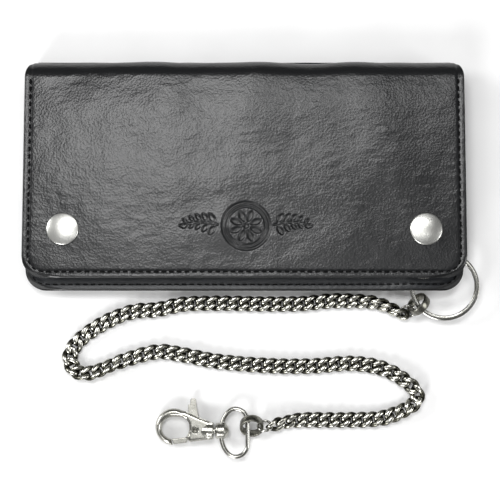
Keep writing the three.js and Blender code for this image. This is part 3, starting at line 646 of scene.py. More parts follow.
lining_columns = both_sides(EDGE_OFFSETS, steps_between(-90, 1, 90))
back_lining = sheet_piece("back_lining_leather", lining_columns, back_rows, back_lining_face,
                          back_lining_under, lining_distance, lining_hide, 0.0003)
cut_hole(back_lining, 0.0056, EYELET_NORMAL, EYELET_CENTRE)
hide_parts("back_lining", "spine_lining")
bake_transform(back_lining)
front_lining = sheet_piece("front_lining_leather", back_columns, front_rows, front_lining_face,
                           front_lining_under, lining_distance, lining_hide, 0.0003)
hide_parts("front_lining")
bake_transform(front_lining)


# ---- the stitching ----
# Bonded black polyester, 0.5 mm thick, lock-stitched at 3.1 mm: each stitch is a short bow of
# thread that comes up through one hole and goes down through the next.

STITCH_PITCH = 0.0031
STITCH_LENGTH = 0.0025
THREAD = 0.00032

thread_finish = empty_material("bonded polyester thread, black")
place = add(thread_finish, "ShaderNodeTexCoord").outputs["Object"]
plies = add(thread_finish, "ShaderNodeTexWave", {"bands_direction": "DIAGONAL"},
            {"Vector": place, "Scale": 700.0, "Distortion": 1.5})
twisted = add(thread_finish, "ShaderNodeBump", None,
              {"Height": plies.outputs["Fac"], "Strength": 0.5, "Distance": 0.0001})
tone = add(thread_finish, "ShaderNodeValToRGB", None, {"Fac": plies.outputs["Fac"]})
ramp(tone, [(0.0, "#040405"), (1.0, "#0b0b0c")])
yarn = add(thread_finish, "ShaderNodeBsdfPrincipled", None,
           {"Base Color": tone.outputs["Color"], "Roughness": 0.8, "Specular IOR Level": 0.15,
            "Normal": twisted.outputs["Normal"]})
add(thread_finish, "ShaderNodeOutputMaterial", None, {"Surface": yarn.outputs["BSDF"]})


def stitch_line(flat_length, top_gap, inset=STITCH_INSET):
    """Centres of the stitches, as (x, s): down one side, round both corners and up the other."""
    radius = CORNER - inset
    turn = np.linspace(0, np.pi / 2, 12)
    right = HALF_WIDTH - CORNER
    side = np.array([[-HALF_WIDTH + inset, flat_length - top_gap]])
    first = np.stack([-right - radius * np.cos(turn), CORNER - radius * np.sin(turn)], 1)
    line = np.concatenate([side, first, first[::-1] * [-1, 1], side * [-1, 1]])
    steps = np.linalg.norm(np.diff(line, axis=0), axis=1)
    along = np.concatenate([[0], np.cumsum(steps)])
    places = np.arange(0.5 * STITCH_PITCH, along[-1], STITCH_PITCH)
    return np.stack([np.interp(places, along, line[:, 0]), np.interp(places, along, line[:, 1])], 1)


def stitches(name, place_at, centres, depth, outward, body):
    """One mesh of stitches. Each is a tube of six sides and seven rings along the line through its
    neighbours, bowed out by 1 - t^2 and thinning to a point in the hole at either end."""
    at = place_at(centres[:, 0], centres[:, 1], depth)
    ahead = unit(np.gradient(at, axis=0))
    outward = np.broadcast_to(outward, at.shape)
    lift = unit(outward - ahead * (outward * ahead).sum(1)[:, None])
    side = np.cross(ahead, lift)
    t = np.linspace(-1, 1, 7)
    turn = np.linspace(0, 2 * np.pi, 6, endpoint=False)
    girth = THREAD * np.sqrt(1 - t ** 6 * 0.999)
    bow = 0.00012 - 0.00042 * t ** 4
    points = (at[:, None, None] + ahead[:, None, None] * (t * STITCH_LENGTH / 2)[None, :, None, None]
              + lift[:, None, None] * (bow[:, None] + girth[:, None] * np.cos(turn))[None, :, :, None]
              + side[:, None, None] * (girth[:, None] * np.sin(turn))[None, :, :, None])
    one = grid_faces(7, 6, False, True).tolist() + [list(range(6))[::-1], list(range(36, 42))]
    faces = [[v + 42 * k for v in face] for k in range(len(at)) for face in one]
    piece = new_piece(name, points, faces, thread_finish)
    face_outwards(piece)
    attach(piece, body)
    return piece


front_stitch = stitch_line(front_flat, 0.0004)
back_stitch = stitch_line(back_flat, 0.0004)
stitches("front_face_stitches", front_place, front_stitch, 0.00022, (0, 0, 1), "flap")
stitches("front_lining_stitches", front_place, front_stitch, LINING_FAR - 0.00015, (0, 0, -1), "flap")
stitches("back_lining_stitches", back_place, back_stitch, LINING_FAR - 0.00015, (0, 0, 1), "back")
stitches("back_face_stitches", back_place, back_stitch, 0.00034, (0, 0, -1), "back")


# ---- the note divider and the coin pocket ----
# Skived black pocket leather on the back half: a divider 0.6 mm thick for the notes, and a coin
# pocket over it, 1 mm with its turned edges, sewn down each side and opened by a zip.

POCKET_REACH = 0.086
POCKET_EDGE, NOTCH_EDGE = -0.040, -0.0286
ZIP_LINE = 0.027
ZIP_HALF = 0.0035
DIVIDER_LOW, DIVIDER_HIGH = 0.0029, 0.0035
COIN_LOW, COIN_HIGH = 0.0042, 0.0052

pocket_hide = black_leather(
    "black pocket leather, skived and plated", "#131416", "#222426", 0.42, 0.7, 0.4)


def pocket_start(x):
    """The pockets' free edge: straight, and cut back at both ends clear of the eyelet."""
    return POCKET_EDGE + (NOTCH_EDGE - POCKET_EDGE) * smooth(np.abs(x), 0.044, 0.058)


def pocket_sheet(name, start, end, low, high):
    """A pocket layer from its start curve to its end line, at two heights over the back half,
    with a turned hem pressed 1.6 mm in from its edges."""
    offsets = 0.001 * np.array([0, .05, .13, .24, .35, .8, 1.3, 1.6, 1.9, 2.6])
    inner = steps_between(-83, 2, -60, 0.8, -42, 4, 42, 0.8, 60, 2, 83)
    columns = np.concatenate([-POCKET_REACH + offsets, inner, (POCKET_REACH - offsets)[::-1]])
    span = end + 0.040
    rows = np.concatenate([offsets / span, np.linspace(0, 1, 26)[2:-2], 1 - offsets[::-1] / span])

    def flat_y(x, v):
        return start(x) + (end - start(x)) * v

    def distance(x, v):
        y = flat_y(x, v)
        return np.minimum(POCKET_REACH - np.abs(x), np.minimum(y - start(x), end - y))

    def hem(x, v):
        return 0.00014 * np.exp(-((distance(x, v) - 0.0016) / 0.0004) ** 2)

    def face(x, v, drop):
        y = flat_y(x, v)
        return np.stack([x, y, back_plane(y) + high - drop - hem(x, v)], -1)

    def under(x, v, drop):
        y = flat_y(x, v)
        return np.stack([x, y, back_plane(y) + low + drop], -1)

    piece = sheet_piece(name, columns, np.sort(rows), face, under, distance, pocket_hide,
                        0.00028)
    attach(piece, "back")
    return piece


divider = pocket_sheet("note_divider_leather", pocket_start, FOLD_LINE - 0.0015,
                       DIVIDER_LOW, DIVIDER_HIGH)
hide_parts("note_divider")
coin_front = pocket_sheet("coin_pocket_leather", pocket_start, ZIP_LINE - ZIP_HALF, COIN_LOW, COIN_HIGH)
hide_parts("coin_pocket_front")
coin_top = pocket_sheet("coin_pocket_binding", lambda x: ZIP_LINE + ZIP_HALF + 0 * x, FOLD_LINE - 0.002,
                        COIN_LOW, COIN_HIGH)
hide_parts("coin_pocket_top")


def pocket_place(x, y, height):
    """A point over the back half at a height."""
    return np.stack([x, y, back_plane(y) + height], -1)


hem_x = np.arange(-0.0815, 0.082, STITCH_PITCH)
for name, way in [("zip_seam_lower", -1), ("zip_seam_upper", 1)]:
    hem_line = np.stack([hem_x, 0 * hem_x + ZIP_LINE + way * (ZIP_HALF + 0.0016)], 1)
    stitches(name, pocket_place, hem_line, COIN_HIGH + 0.00002, (0, 0, 1), "back")


# ---- the card slots ----
# Six leather panels on the front lining, in two columns of three steps. Each is turned over at its
# open edge, towards the fold, and sewn down along its foot and sides.

CARD_INNER, CARD_OUTER = 0.0025, 0.0865
CARD_FOOT, CARD_TOP, CARD_STEP = -0.0145, 0.0315, 0.009


def card_panel(name, x0, x1, y1, near, far):
    """A panel between two depths below the front face, with a creased line 2 mm under its turned
    edge; all four of its edges are rounded."""
    offsets = 0.001 * np.array([0, .05, .13, .24, .35, .8, 1.4, 1.7, 2.0, 2.3, 2.6, 3.2])
    columns = np.concatenate([x0 + offsets, np.linspace(x0, x1, 16)[1:-1], (x1 - offsets)[::-1]])
    rows = np.concatenate([CARD_FOOT + offsets, np.linspace(CARD_FOOT, y1, 14)[2:-2],
                           (y1 - offsets)[::-1]])

    def distance(x, y):
        return np.minimum(np.minimum(x - x0, x1 - x), np.minimum(y - CARD_FOOT, y1 - y))

    def crease(x, y):
        return 0.00013 * np.exp(-((y1 - y - 0.002) / 0.0003) ** 2)

    def face(x, y, drop):
        return np.stack([x, y, front_plane(y) - far + drop + crease(x, y)], -1)

    def under(x, y, drop):
        return np.stack([x, y, front_plane(y) - near - drop], -1)

    piece = sheet_piece(name, np.sort(columns), np.sort(rows), face, under, distance, pocket_hide,
                        0.00028)
    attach(piece, "flap")
    return piece


def flap_place(x, y, depth):
    """A point below the front face at a depth."""
    return np.stack([x, y, front_plane(y) - depth], -1)


for side, sign in [("left", -1), ("right", 1)]:
    for tier in range(3):
        near = 0.0029 + 0.0009 * tier
        x0, x1 = sorted([sign * CARD_INNER, sign * CARD_OUTER])
        panel = card_panel(f"card_panel_{side}_{tier + 1}", x0, x1, CARD_TOP - tier * CARD_STEP,
                           near, near + 0.0006)
        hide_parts(f"card_slot_{side}_{tier + 1}")
    foot_x = np.arange(x0 + 0.003, x1 - 0.002, STITCH_PITCH)
    stitches(f"card_foot_seam_{side}", flap_place, np.stack([foot_x, 0 * foot_x + CARD_FOOT + 0.002], 1),
             0.0053 + 0.00002, (0, 0, -1), "flap")


# ---- the zip ----
# A nickel coin zip: two woven tapes, a row of stamped teeth set alternately on each, a stop at
# either end, and a die-cast slider whose flat pull lies along the teeth.

ZIP_REACH = 0.072
TOOTH_PITCH = 0.0016

tape_weave = empty_material("polyester zip tape, black twill")
place = add(tape_weave, "ShaderNodeTexCoord").outputs["Object"]
ribs = add(tape_weave, "ShaderNodeTexWave", {"bands_direction": "X"},
           {"Vector": place, "Scale": 520.0, "Distortion": 0.6})
yarns = add(tape_weave, "ShaderNodeTexNoise", None, {"Vector": place, "Scale": 3000.0, "Detail": 2.0})
woven = add(tape_weave, "ShaderNodeMath", {"operation": "MULTIPLY_ADD"},
            {0: yarns.outputs["Fac"], 1: 0.5, 2: ribs.outputs["Fac"]})
raised = add(tape_weave, "ShaderNodeBump", None,
             {"Height": woven.outputs[0], "Strength": 0.7, "Distance": 0.0002})
tone = add(tape_weave, "ShaderNodeValToRGB", None, {"Fac": woven.outputs[0]})
ramp(tone, [(0.2, "#0b0b0c"), (1.0, "#1e1f21")])
cloth = add(tape_weave, "ShaderNodeBsdfPrincipled", None,
            {"Base Color": tone.outputs["Color"], "Roughness": 0.85, "Sheen Weight": 0.3,
             "Normal": raised.outputs["Normal"]})
add(tape_weave, "ShaderNodeOutputMaterial", None, {"Surface": cloth.outputs["BSDF"]})


def satin_nickel(name, bright, shade, gloss, brush_mm):
    """Nickel plate over brass or zinc: a pale, slightly warm metal, with faint cloudy marks of
    handling and fine scratches that widen its highlights."""
    plate = empty_material(name)
    place = add(plate, "ShaderNodeTexCoord").outputs["Object"]
    cloud = add(plate, "ShaderNodeTexNoise", None, {"Vector": place, "Scale": 160.0, "Detail": 4.0})
    scratch = add(plate, "ShaderNodeTexNoise", None,
                  {"Vector": add(plate, "ShaderNodeMapping", None,
                                 {"Vector": place, "Rotation": (0, 0, 0.6), "Scale": (1, 9, 1)}).outputs[0],
                   "Scale": 1000 / brush_mm, "Detail": 3.0})
    tone = add(plate, "ShaderNodeValToRGB", None, {"Fac": cloud.outputs["Fac"]})
    ramp(tone, [(0.3, shade), (0.7, bright)])
    dull = add(plate, "ShaderNodeMapRange", None,
               {"Value": scratch.outputs["Fac"], "From Min": 0.3, "From Max": 0.7,
                "To Min": gloss - 0.05, "To Max": gloss + 0.08})
    marks = add(plate, "ShaderNodeBump", None,
                {"Height": scratch.outputs["Fac"], "Strength": 0.06, "Distance": 0.0001})
    metal = add(plate, "ShaderNodeBsdfPrincipled", None,
                {"Base Color": tone.outputs["Color"], "Metallic": 1.0, "Roughness": dull.outputs["Result"],
                 "Normal": marks.outputs["Normal"]})
    add(plate, "ShaderNodeOutputMaterial", None, {"Surface": metal.outputs["BSDF"]})
    return plate


zip_nickel = satin_nickel("nickel plate, barrel polished", "#c9c9c4", "#aaa9a3", 0.24, 0.5)

for name, y0, y1 in [("zip_tape_lower", -0.0032, -0.0016), ("zip_tape_upper", 0.0016, 0.0032)]:
    def tape_distance(x, y, y0=y0, y1=y1):
        return np.minimum(0.078 - np.abs(x), np.minimum(y - y0, y1 - y))

    def tape_face(x, y, drop):
        return pocket_place(x, ZIP_LINE + y, 0.0049 - drop)

    def tape_under(x, y, drop):
        return pocket_place(x, ZIP_LINE + y, COIN_LOW + drop)

    tape = sheet_piece(name + "_weave", steps_between(-78, 0.3, -77, 2, 77, 0.3, 78),
                       np.linspace(y0, y1, 9), tape_face, tape_under, tape_distance,
                       tape_weave, 0.0002)
    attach(tape, "back")
    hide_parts(name)

# Teeth: rounded bars 0.95 mm wide, alternately from one tape and the other, past the middle line.
# A bar's cross-section is a rounded rectangle, |u|^4 + |v|^4 = 1, drawn in at both its ends.
tooth_x = np.arange(-ZIP_REACH + 0.0008, ZIP_REACH - 0.0006, TOOTH_PITCH / 2)
tooth_side = np.where(np.arange(tooth_x.size) % 2 == 0, 1, -1)
turn = np.linspace(0, 2 * np.pi, 8, endpoint=False)
corner = 1 / (np.abs(np.cos(turn)) ** 4 + np.abs(np.sin(turn)) ** 4) ** 0.25
reach = np.array([-0.0005, -0.0003, 0.0009, 0.00125])
slim = np.array([0.55, 1, 1, 0.6])
tooth_points = np.stack(np.broadcast_arrays(
    tooth_x[:, None, None] + 0.00036 * slim[:, None] * (corner * np.cos(turn))[None, :],
    ZIP_LINE + tooth_side[:, None, None] * reach[None, :, None] + 0 * turn[None, None, :],
    0.00505 + 0.00078 * slim[:, None] * (corner * np.sin(turn))[None, :]
    + 0 * tooth_x[:, None, None]), -1)
tooth_points[..., 2] += back_plane(tooth_points[..., 1])
one_tooth = grid_faces(4, 8, False, True).tolist() + [list(range(8))[::-1], list(range(24, 32))]
teeth = new_piece("zip_teeth_row", tooth_points,
                  [[v + 32 * k for v in f] for k in range(tooth_x.size) for f in one_tooth],
                  zip_nickel)
face_outwards(teeth)
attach(teeth, "back")
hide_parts("zip_teeth")


def cast_copy(node, voxel, passes, material):
    """A cast or stamped piece from its solid: filled with cubes of the voxel's size, then relaxed
    the given number of times, so that every edge comes out rounded as from a die."""
    piece = bpy.data.objects.new(node + "_cast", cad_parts[node].data.copy())
    bpy.context.collection.objects.link(piece)
    shell = bmesh.new()
    shell.from_mesh(piece.data)
    bmesh.ops.remove_doubles(shell, verts=shell.verts, dist=1e-6)
    shell.to_mesh(piece.data)
    shell.free()
    filled = piece.modifiers.new("fill", "REMESH")
    filled.mode, filled.voxel_size = "VOXEL", voxel
    eased = piece.modifiers.new("ease", "SMOOTH")
    eased.factor, eased.iterations = 0.5, passes
    apply_modifiers(piece)
    piece.data.materials.clear()
    piece.data.materials.append(material)
    piece.data.polygons.foreach_set("use_smooth", [True] * len(piece.data.polygons))
    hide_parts(node)
    return piece


for node, body in [("zip_slider", "zip_runner"), ("zip_tab", "zip_runner"), ("zip_stop_open", "back"),
                   ("zip_stop_closed", "back")]:
    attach(cast_copy(node, 0.00012, 3, zip_nickel), body)


# ---- the snap fasteners ----
# Two ring snaps of nickelled brass: a domed cap riveted through the front cover into a socket,
# and a stud riveted through the coin pocket with a post from behind.

SNAP_SPREAD, SNAP_Y = 0.0734, -0.0232
CAP_RADIUS, CAP_RISE = 0.0063, 0.00095

cap_nickel = satin_nickel("nickel plate, satin", "#e2e2de", "#cfcfca", 0.3, 0.35)


def placed(points, normal, centre):
    """Turns points so that their Z runs along normal, and moves them to centre."""
    normal = unit(normal)
    side = unit(np.cross([0, 1.0, 0], normal)) if abs(normal[1]) < 0.95 else np.array([1.0, 0, 0])
    return (centre + points[..., :1] * side + points[..., 1:2] * np.cross(normal, side)
            + points[..., 2:] * normal)


def turned_piece(name, profile, steps, normal, centre, material, slot, bevel=0.00012):
    """A solid turned from (radius, height) corners in metres; its edges get a narrow bevel."""
    profile = np.array(profile)
    angle = np.linspace(0, 2 * np.pi, steps, endpoint=False)
    points = np.stack([profile[:, :1] * np.cos(angle), profile[:, :1] * np.sin(angle),
                       profile[:, 1:] + 0 * angle], -1)
    closed = profile[0, 0] > 1e-7
    piece = new_piece(name, placed(points, normal, np.asarray(centre)),
                      grid_faces(len(profile), steps, closed, True), material)
    shell = bmesh.new()
    shell.from_mesh(piece.data)
    bmesh.ops.remove_doubles(shell, verts=shell.verts, dist=1e-7)
    bmesh.ops.recalc_face_normals(shell, faces=shell.faces)
    shell.to_mesh(piece.data)
    shell.free()
    rounded = piece.modifiers.new("edges", "BEVEL")
    rounded.width, rounded.segments, rounded.limit_method = bevel, 3, "ANGLE"
    rounded.angle_limit = math.radians(28)
    return piece


def mm(*corners):
    """Corners given in millimetres, in metres."""
    return [(0.001 * r, 0.001 * z) for r, z in corners]


ball = (CAP_RADIUS ** 2 + CAP_RISE ** 2) / (2 * CAP_RISE)
dome_angle = np.linspace(math.asin(CAP_RADIUS / ball), 0, 14)
dome = [(ball * math.sin(a), 0.00105 + CAP_RISE - ball * (1 - math.cos(a))) for a in dome_angle]
cap_profile = mm((0, -3.4), (1.2, -3.4), (1.2, 0.3), (6.1, 0.3), (6.5, 0.55), (6.5, 0.85)) + dome
for side, x in [("left", -SNAP_SPREAD), ("right", SNAP_SPREAD)]:
    on_front = dict(normal=(0, -0.0102, 1), centre=(x, SNAP_Y, front_plane(SNAP_Y)))
    on_back = dict(normal=(0, BACK_RISE, 1), centre=(x, SNAP_Y, back_plane(SNAP_Y)))
    cap = turned_piece(f"snap_cap_{side}_dome", cap_profile, 64, material=cap_nickel,
                       slot="nickel", **on_front)
    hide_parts(f"snap_cap_{side}")
    socket = turned_piece(f"snap_socket_{side}_ring", mm(
        (1.5, -3.5), (2.7, -3.5), (2.7, -5.1), (5.1, -5.1), (5.6, -4.7), (5.6, -2.9), (1.5, -2.9)), 48,
        material=zip_nickel, slot="nickel", **on_front)
    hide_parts(f"snap_socket_{side}")
    stud = turned_piece(f"snap_stud_{side}_knob", mm(
        (1.3, 5.5), (4, 5.5), (4, 6.0), (2, 6.0), (2.2, 7.2), (1.6, 7.8), (0, 7.8), (0, 7.3),
        (1.3, 7.3)), 48, material=zip_nickel, slot="nickel", **on_back)
    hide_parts(f"snap_stud_{side}")
    post = turned_piece(f"snap_post_{side}_rivet", mm(
        (0, 3.7), (4, 3.7), (4, 3.98), (1, 3.98), (1, 6.8), (0, 6.8)), 40,
        material=zip_nickel, slot="nickel", **on_back)
    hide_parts(f"snap_post_{side}")
    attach(cap, "flap")
    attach(socket, "flap")
    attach(stud, "back")
    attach(post, "back")


# ---- the eyelet and the split ring ----
# A rolled brass eyelet, nickel plated, sets through the back's corner. The split ring in it is two
# turns of flat spring-steel wire, 2 mm by 0.8 mm, wound one on the other.

barrel = turned_piece("eyelet_barrel_rolled", mm(
    (5, -1.2), (5.5, -1.8), (7.0, -1.8), (7.2, -1.45), (5.5, -1.45), (5.5, 1.4), (5, 1.2)), 64,
    EYELET_NORMAL, EYELET_CENTRE, zip_nickel, "nickel")
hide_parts("eyelet_barrel")
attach(barrel, "back")
washer = turned_piece("eyelet_washer_pressed", mm((5.8, 1.45), (7.2, 1.45), (7.0, 1.8), (5.8, 1.8)), 64,
                      EYELET_NORMAL, EYELET_CENTRE, zip_nickel, "nickel")
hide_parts("eyelet_washer")
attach(washer, "back")


SPLIT_RADIUS = 0.0132
SPLIT_BAND, SPLIT_WIRE = 0.0020, 0.00078
SPLIT_NORMAL = np.array([-0.141, -0.141, 0.980])
SPLIT_CENTRE = np.array([0.0819, -0.0456, EYELET_CENTRE[2]])

polished_steel = satin_nickel(
    "nickel plate, bright, over spring steel", "#c4c4bf", "#9d9c96", 0.17, 0.6)


def swept(name, centres, side, over, half_side, half_over, power, material, closed=False):
    """A wire along centres whose section is |u|^p + |v|^p = 1, half_side by half_over, in the
    directions side and over at each centre; open ends are closed flat."""
    turn = np.linspace(0, 2 * np.pi, 16, endpoint=False)
    grow = 1 / (np.abs(np.cos(turn)) ** power + np.abs(np.sin(turn)) ** power) ** (1 / power)
    points = (centres[:, None] + side[:, None] * (half_side * grow * np.cos(turn))[None, :, None]
              + over[:, None] * (half_over * grow * np.sin(turn))[None, :, None])
    faces = grid_faces(len(centres), 16, closed, True).tolist()
    if not closed:
        last = 16 * (len(centres) - 1)
        faces += [list(range(16))[::-1], list(range(last, last + 16))]
    piece = new_piece(name, points, faces, material)
    face_outwards(piece)
    return piece


# Both turns start and end just short of the place where the wire steps from one to the other.
coil_turn = np.linspace(0.34, 4 * np.pi - 0.34, 220)
coil_height = SPLIT_WIRE * (smooth(coil_turn, 2 * np.pi - 0.3, 2 * np.pi + 0.3) - 0.5)
coil_start = 2.3
coil_flat = np.stack([np.cos(coil_turn + coil_start), np.sin(coil_turn + coil_start), 0 * coil_turn], 1)
origin = np.zeros(3)
coil_out = placed(coil_flat, SPLIT_NORMAL, origin)
coil_axis = np.broadcast_to(unit(SPLIT_NORMAL), coil_out.shape)
coil_centres = SPLIT_CENTRE + SPLIT_RADIUS * coil_out + coil_axis * coil_height[:, None]
split_ring = swept("split_ring", coil_centres, coil_out, coil_axis, SPLIT_BAND / 2,
                   SPLIT_WIRE / 2 * 0.985, 3.2, polished_steel)
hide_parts("key_ring")
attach(split_ring, "key_ring")


# ---- the rings at the chain's two ends ----
# At each end a small round wire ring joins the chain to a band ring bent from 3.2 mm nickelled
# strip. One band ring hangs on the split ring, the other on the bar of the D ring. The band rings'
# nickel is darkened all over as painted shade for their shaded inner walls.

BAND_OUTER, BAND_WALL, BAND_WIDTH = 0.0048, 0.0009, 0.0032
SMALL_RING, SMALL_WIRE = 0.0028, 0.00055

# Painted shade: this nickel's colour is darkened to stand in for the shade inside the leaning band rings;
# the pivot pin uses it too.
shade_darkened_nickel = satin_nickel("nickel plate on steel strip, darkened as painted shade", "#8f8e86", "#5c5b54", 0.26, 0.4)


def band_ring(name, node, x, y, lean, bearing, towards):
    """A strip bent round and standing on its lower rim, its axis leaning from upright towards the
    bearing, and the wire ring through its side that faces towards."""
    axis = np.array([math.sin(lean) * math.cos(bearing), math.sin(lean) * math.sin(bearing),
                     math.cos(lean)])
    centre = np.array([x, y, BAND_OUTER * math.sin(lean) + BAND_WIDTH / 2 * math.cos(lean) + 0.00002])
    inner, half = BAND_OUTER - BAND_WALL, BAND_WIDTH / 2
    section = [(inner, -half), (BAND_OUTER, -half), (BAND_OUTER + 0.00008, 0), (BAND_OUTER, half),
               (inner, half)]
    band = turned_piece(name + "_band", section, 72, axis, centre, shade_darkened_nickel, "nickel", 0.0002)
    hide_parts(f"end_ring_{node}")
    across = unit(towards - axis * np.dot(towards, axis))
    middle = centre + across * (BAND_OUTER - BAND_WALL / 2 + 0.001)
    angle = np.linspace(0, 2 * np.pi, 48, endpoint=False)
    outward = np.cos(angle)[:, None] * across + np.sin(angle)[:, None] * axis
    flat_axis = np.broadcast_to(np.cross(across, axis), outward.shape)
    wire_ring = swept(name + "_wire", middle + SMALL_RING * outward, outward, flat_axis,
                      SMALL_WIRE, SMALL_WIRE, 2, polished_steel, True)
    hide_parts(f"link_ring_{node}")
    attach(band, "back")
    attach(wire_ring, "back")
    return band, wire_ring


wallet_band, wallet_wire = band_ring("wallet_end", "wallet", 0.0713, -0.0530, math.radians(62),
                                     math.radians(139), np.array([-1.0, 0, 0]))
hook_band, hook_wire = band_ring("hook_end", "hook", 0.00295, -0.1024, math.radians(43),
                                 math.radians(-90), np.array([1.0, 0, 0]))


# ---- the D ring ----
# 1.9 mm steel wire bent to a D and butt-welded in its straight bar, then polished and plated.

DEE_WIRE, DEE_DEPTH, DEE_HALF, DEE_CORNER = 0.00095, 0.0109, 0.00965, 0.005
DEE_BAR = np.array([0.0013, -0.1052, 0.0044])
EYE = np.array([-0.0094, -0.1044, 0.00345])

straight = DEE_HALF - DEE_CORNER
quarter = np.linspace(0, np.pi / 2, 7)
bow = np.linspace(np.pi / 2, 3 * np.pi / 2, 19)[1:-1]
dee_flat = np.concatenate([
    np.stack([0 * quarter[:2], straight * np.array([-0.5, 0.5])], 1),
    np.stack([-DEE_CORNER + DEE_CORNER * np.cos(quarter), straight + DEE_CORNER * np.sin(quarter)], 1),
    np.stack([-DEE_CORNER + (DEE_DEPTH - DEE_CORNER) * np.cos(bow), DEE_HALF * np.sin(bow)], 1),
    np.stack([-DEE_CORNER + DEE_CORNER * np.sin(quarter), -straight - DEE_CORNER * np.cos(quarter)], 1)])
lean = math.asin((DEE_BAR[2] - EYE[2]) / DEE_DEPTH)
dee_flat = even_path(np.column_stack([dee_flat, 0 * dee_flat[:, 0]]), 0.0005, True)
dee_path = DEE_BAR + np.column_stack([dee_flat[:, 0] * math.cos(lean), dee_flat[:, 1],
                                      dee_flat[:, 0] * math.sin(lean)])
dee_normal = np.array([-math.sin(lean), 0, math.cos(lean)])
dee_ahead = unit(np.roll(dee_path, -1, 0) - np.roll(dee_path, 1, 0))
dee_over = np.broadcast_to(dee_normal, dee_path.shape)
d_ring = swept("d_ring_wire", dee_path, np.cross(dee_ahead, dee_over), dee_over, DEE_WIRE, DEE_WIRE, 2,
               polished_steel, True)
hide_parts("d_ring")
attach(d_ring, "dee")


# ---- the snap hook ----
# A die-cast zinc trigger hook, tumbled and nickel plated: a slotted body with its hooked nose, a
# swivel eye riveted into its neck, and a stamped thumb lever on a pin with a small spring.

cast_nickel = satin_nickel("nickel plate, tumbled, on cast zinc", "#c2c1ba", "#a2a19a", 0.25, 0.45)
spring_wire = satin_nickel("bright drawn spring wire", "#aeb0b2", "#8e9092", 0.25, 0.3)

HOOK_TILT = math.radians(2.8)


def hook_frame(points):
    """Points in the hook's own lie: x from the eye's hole to the tip, y across, z through."""
    moved = points - EYE
    return np.stack([moved[:, 0] * math.cos(HOOK_TILT) + moved[:, 2] * math.sin(HOOK_TILT), moved[:, 1],
                     -moved[:, 0] * math.sin(HOOK_TILT) + moved[:, 2] * math.cos(HOOK_TILT)], 1)


def from_hook_frame(points):
    """The hook's own lie back to the model's."""
    x, y, z = points.T
    return EYE + np.stack([x * math.cos(HOOK_TILT) - z * math.sin(HOOK_TILT), y,
                           x * math.sin(HOOK_TILT) + z * math.cos(HOOK_TILT)], 1)


swivel = cast_copy("swivel_eye", 0.00013, 4, cast_nickel)
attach(swivel, "swivel")
hook_body = cast_copy("hook_body", 0.00016, 5, cast_nickel)

# The die rounds the casting over: its faces fall to the outline along a quarter circle, fully in
# the nose and more narrowly in the slotted body. The outline is in millimetres in the hook's lie.
nose_out = np.radians(np.linspace(62, 268, 25))
nose_in = np.radians(np.linspace(255, 90, 21))
hook_outline = 0.001 * np.concatenate([
    [[-3.2, 3.3], [-4.7, 3.6], [-8.8, 5.1], [-12.9, 6.9], [-15.5, 8]],
    np.stack([-19.5 + 7.4 * np.cos(nose_out), 1.6 + 7.4 * np.sin(nose_out)], 1), [[-20.6, -3.3]],
    np.stack([-19.95 + 4.45 * np.cos(nose_in), 1.15 + 4.45 * np.sin(nose_in)], 1),
    [[-16.6, 5.6], [-14.2, 4.7], [-13.1, 3], [-12.9, 0.6], [-13.2, -1.4], [-13.6, -2.5],
     [-13, -4.6], [-8.8, -4], [-4.7, -3.5], [-3.2, -3.3]]])
cast_points = np.empty(3 * len(hook_body.data.vertices))
hook_body.data.vertices.foreach_get("co", cast_points)
cast_points = hook_frame(cast_points.reshape(-1, 3))
start, step = hook_outline, np.roll(hook_outline, -1, 0) - hook_outline
span = cast_points[:, None, :2] - start
t = np.clip((span * step).sum(-1) / (step ** 2).sum(-1), 0, 1)
inside = np.linalg.norm(span - t[..., None] * step, axis=-1).min(1)
in_nose = 1 - smooth(cast_points[:, 0], -0.0165, -0.0145)
round_over = 0.0012 + 0.0003 * in_nose
kept = 0.00135 - 0.00095 * in_nose
fall = np.sqrt(1 - (1 - np.clip(inside / round_over, 0, 1)) ** 2)
depth = np.abs(cast_points[:, 2])
eased = np.where(depth > kept, kept + (depth - kept) * fall, depth)
cast_points[:, 2] = np.sign(cast_points[:, 2]) * np.where(cast_points[:, 0] < -0.0047, eased, depth)
hook_body.data.vertices.foreach_set("co", from_hook_frame(cast_points).ravel())
hook_body.data.update()
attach(hook_body, "hook")
lever = cast_copy("gate_lever", 0.00014, 4, cast_nickel)
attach(lever, "gate")
pin_axis = np.array([-math.sin(HOOK_TILT), 0, math.cos(HOOK_TILT)])
pin_centre = from_hook_frame(np.array([[-0.0105, 0.0003, 0]]))[0]
# The pin wears the band rings' nickel, whose colour is darkened as painted shade.
pin = turned_piece("hook_pin", mm((0, -2.0), (1.1, -2.0), (1.1, 2.0), (0.7, 2.0), (0.7, 0.9), (0, 0.9)),
                   40, pin_axis, pin_centre, shade_darkened_nickel, "nickel", 0.0001)
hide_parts("pivot_pin")
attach(pin, "hook")
spring = cast_copy("gate_spring", 0.0001, 2, spring_wire)
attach(spring, "hook")


# ---- the table and the light ----
# A plain pale tabletop under soft studio light: three lamps overhead, over the wallet's left,
# its fold and the chain, three low ones at the right, front and left, and a dim white room.

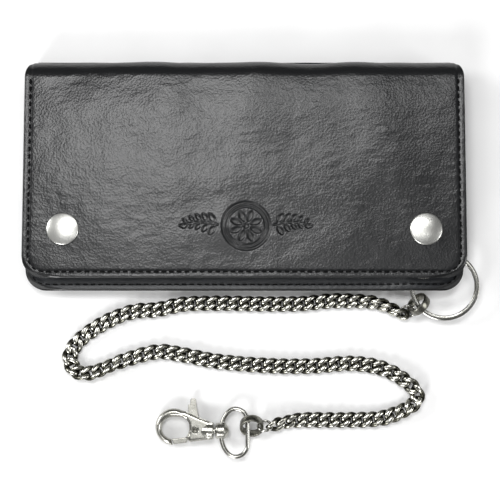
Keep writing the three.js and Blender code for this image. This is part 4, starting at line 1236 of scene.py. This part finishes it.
tabletop = empty_material("matt white laminate")
place = add(tabletop, "ShaderNodeTexCoord").outputs["Object"]
mottle = add(tabletop, "ShaderNodeTexNoise", None, {"Vector": place, "Scale": 40.0, "Detail": 2.0})
tone = add(tabletop, "ShaderNodeValToRGB", None, {"Fac": mottle.outputs["Fac"]})
ramp(tone, [(0.3, "#f6f6f6"), (0.7, "#fbfbfb")])
laminate = add(tabletop, "ShaderNodeBsdfPrincipled", None,
               {"Base Color": tone.outputs["Color"], "Roughness": 0.9})
add(tabletop, "ShaderNodeOutputMaterial", None, {"Surface": laminate.outputs["BSDF"]})

table_mesh = bpy.data.meshes.new("table")
table_mesh.from_pydata([(-3, -3, 0), (3, -3, 0), (3, 3, 0), (-3, 3, 0)], [], [(0, 1, 2, 3)])
table_mesh.materials.append(tabletop)
table = bpy.data.objects.new("table", table_mesh)
bpy.context.collection.objects.link(table)


def soft_lamp(name, where, aim, wide, deep, power):
    """An oblong lamp at one point, facing another, all in metres."""
    lamp = bpy.data.lights.new(name, "AREA")
    lamp.shape = "RECTANGLE"
    lamp.energy, lamp.size, lamp.size_y = power, wide, deep
    holder = bpy.data.objects.new(name, lamp)
    bpy.context.collection.objects.link(holder)
    holder.location = where
    holder.rotation_euler = (Vector(aim) - Vector(where)).to_track_quat("-Z", "Y").to_euler()


soft_lamp("lamp_over_left", (-0.1, 0.14, 0.62), (-0.1, 0.14, 0), 0.17, 0.2, 1.35)
soft_lamp("lamp_over_fold", (0.1, 0.21, 0.62), (0.1, 0.21, 0), 0.2, 0.08, 0.6)
soft_lamp("lamp_over_chain", (0.0, -0.09, 0.62), (0.0, -0.09, 0), 0.44, 0.08, 0.32)
soft_lamp("lamp_right", (0.85, -0.25, 0.45), (0, -0.04, 0), 0.4, 0.4, 3)
soft_lamp("lamp_front", (-0.35, -0.85, 0.5), (0, -0.04, 0), 0.4, 0.4, 6)
soft_lamp("lamp_left", (-0.9, 0.25, 0.5), (0, -0.04, 0), 0.4, 0.4, 5)
bpy.context.scene.view_settings.view_transform = "Standard"
room = bpy.data.worlds.new("room")
bpy.context.scene.world = room
room.use_nodes = True
room.node_tree.nodes["Background"].inputs["Color"].default_value = linear("#ffffff")
room.node_tree.nodes["Background"].inputs["Strength"].default_value = 0.15
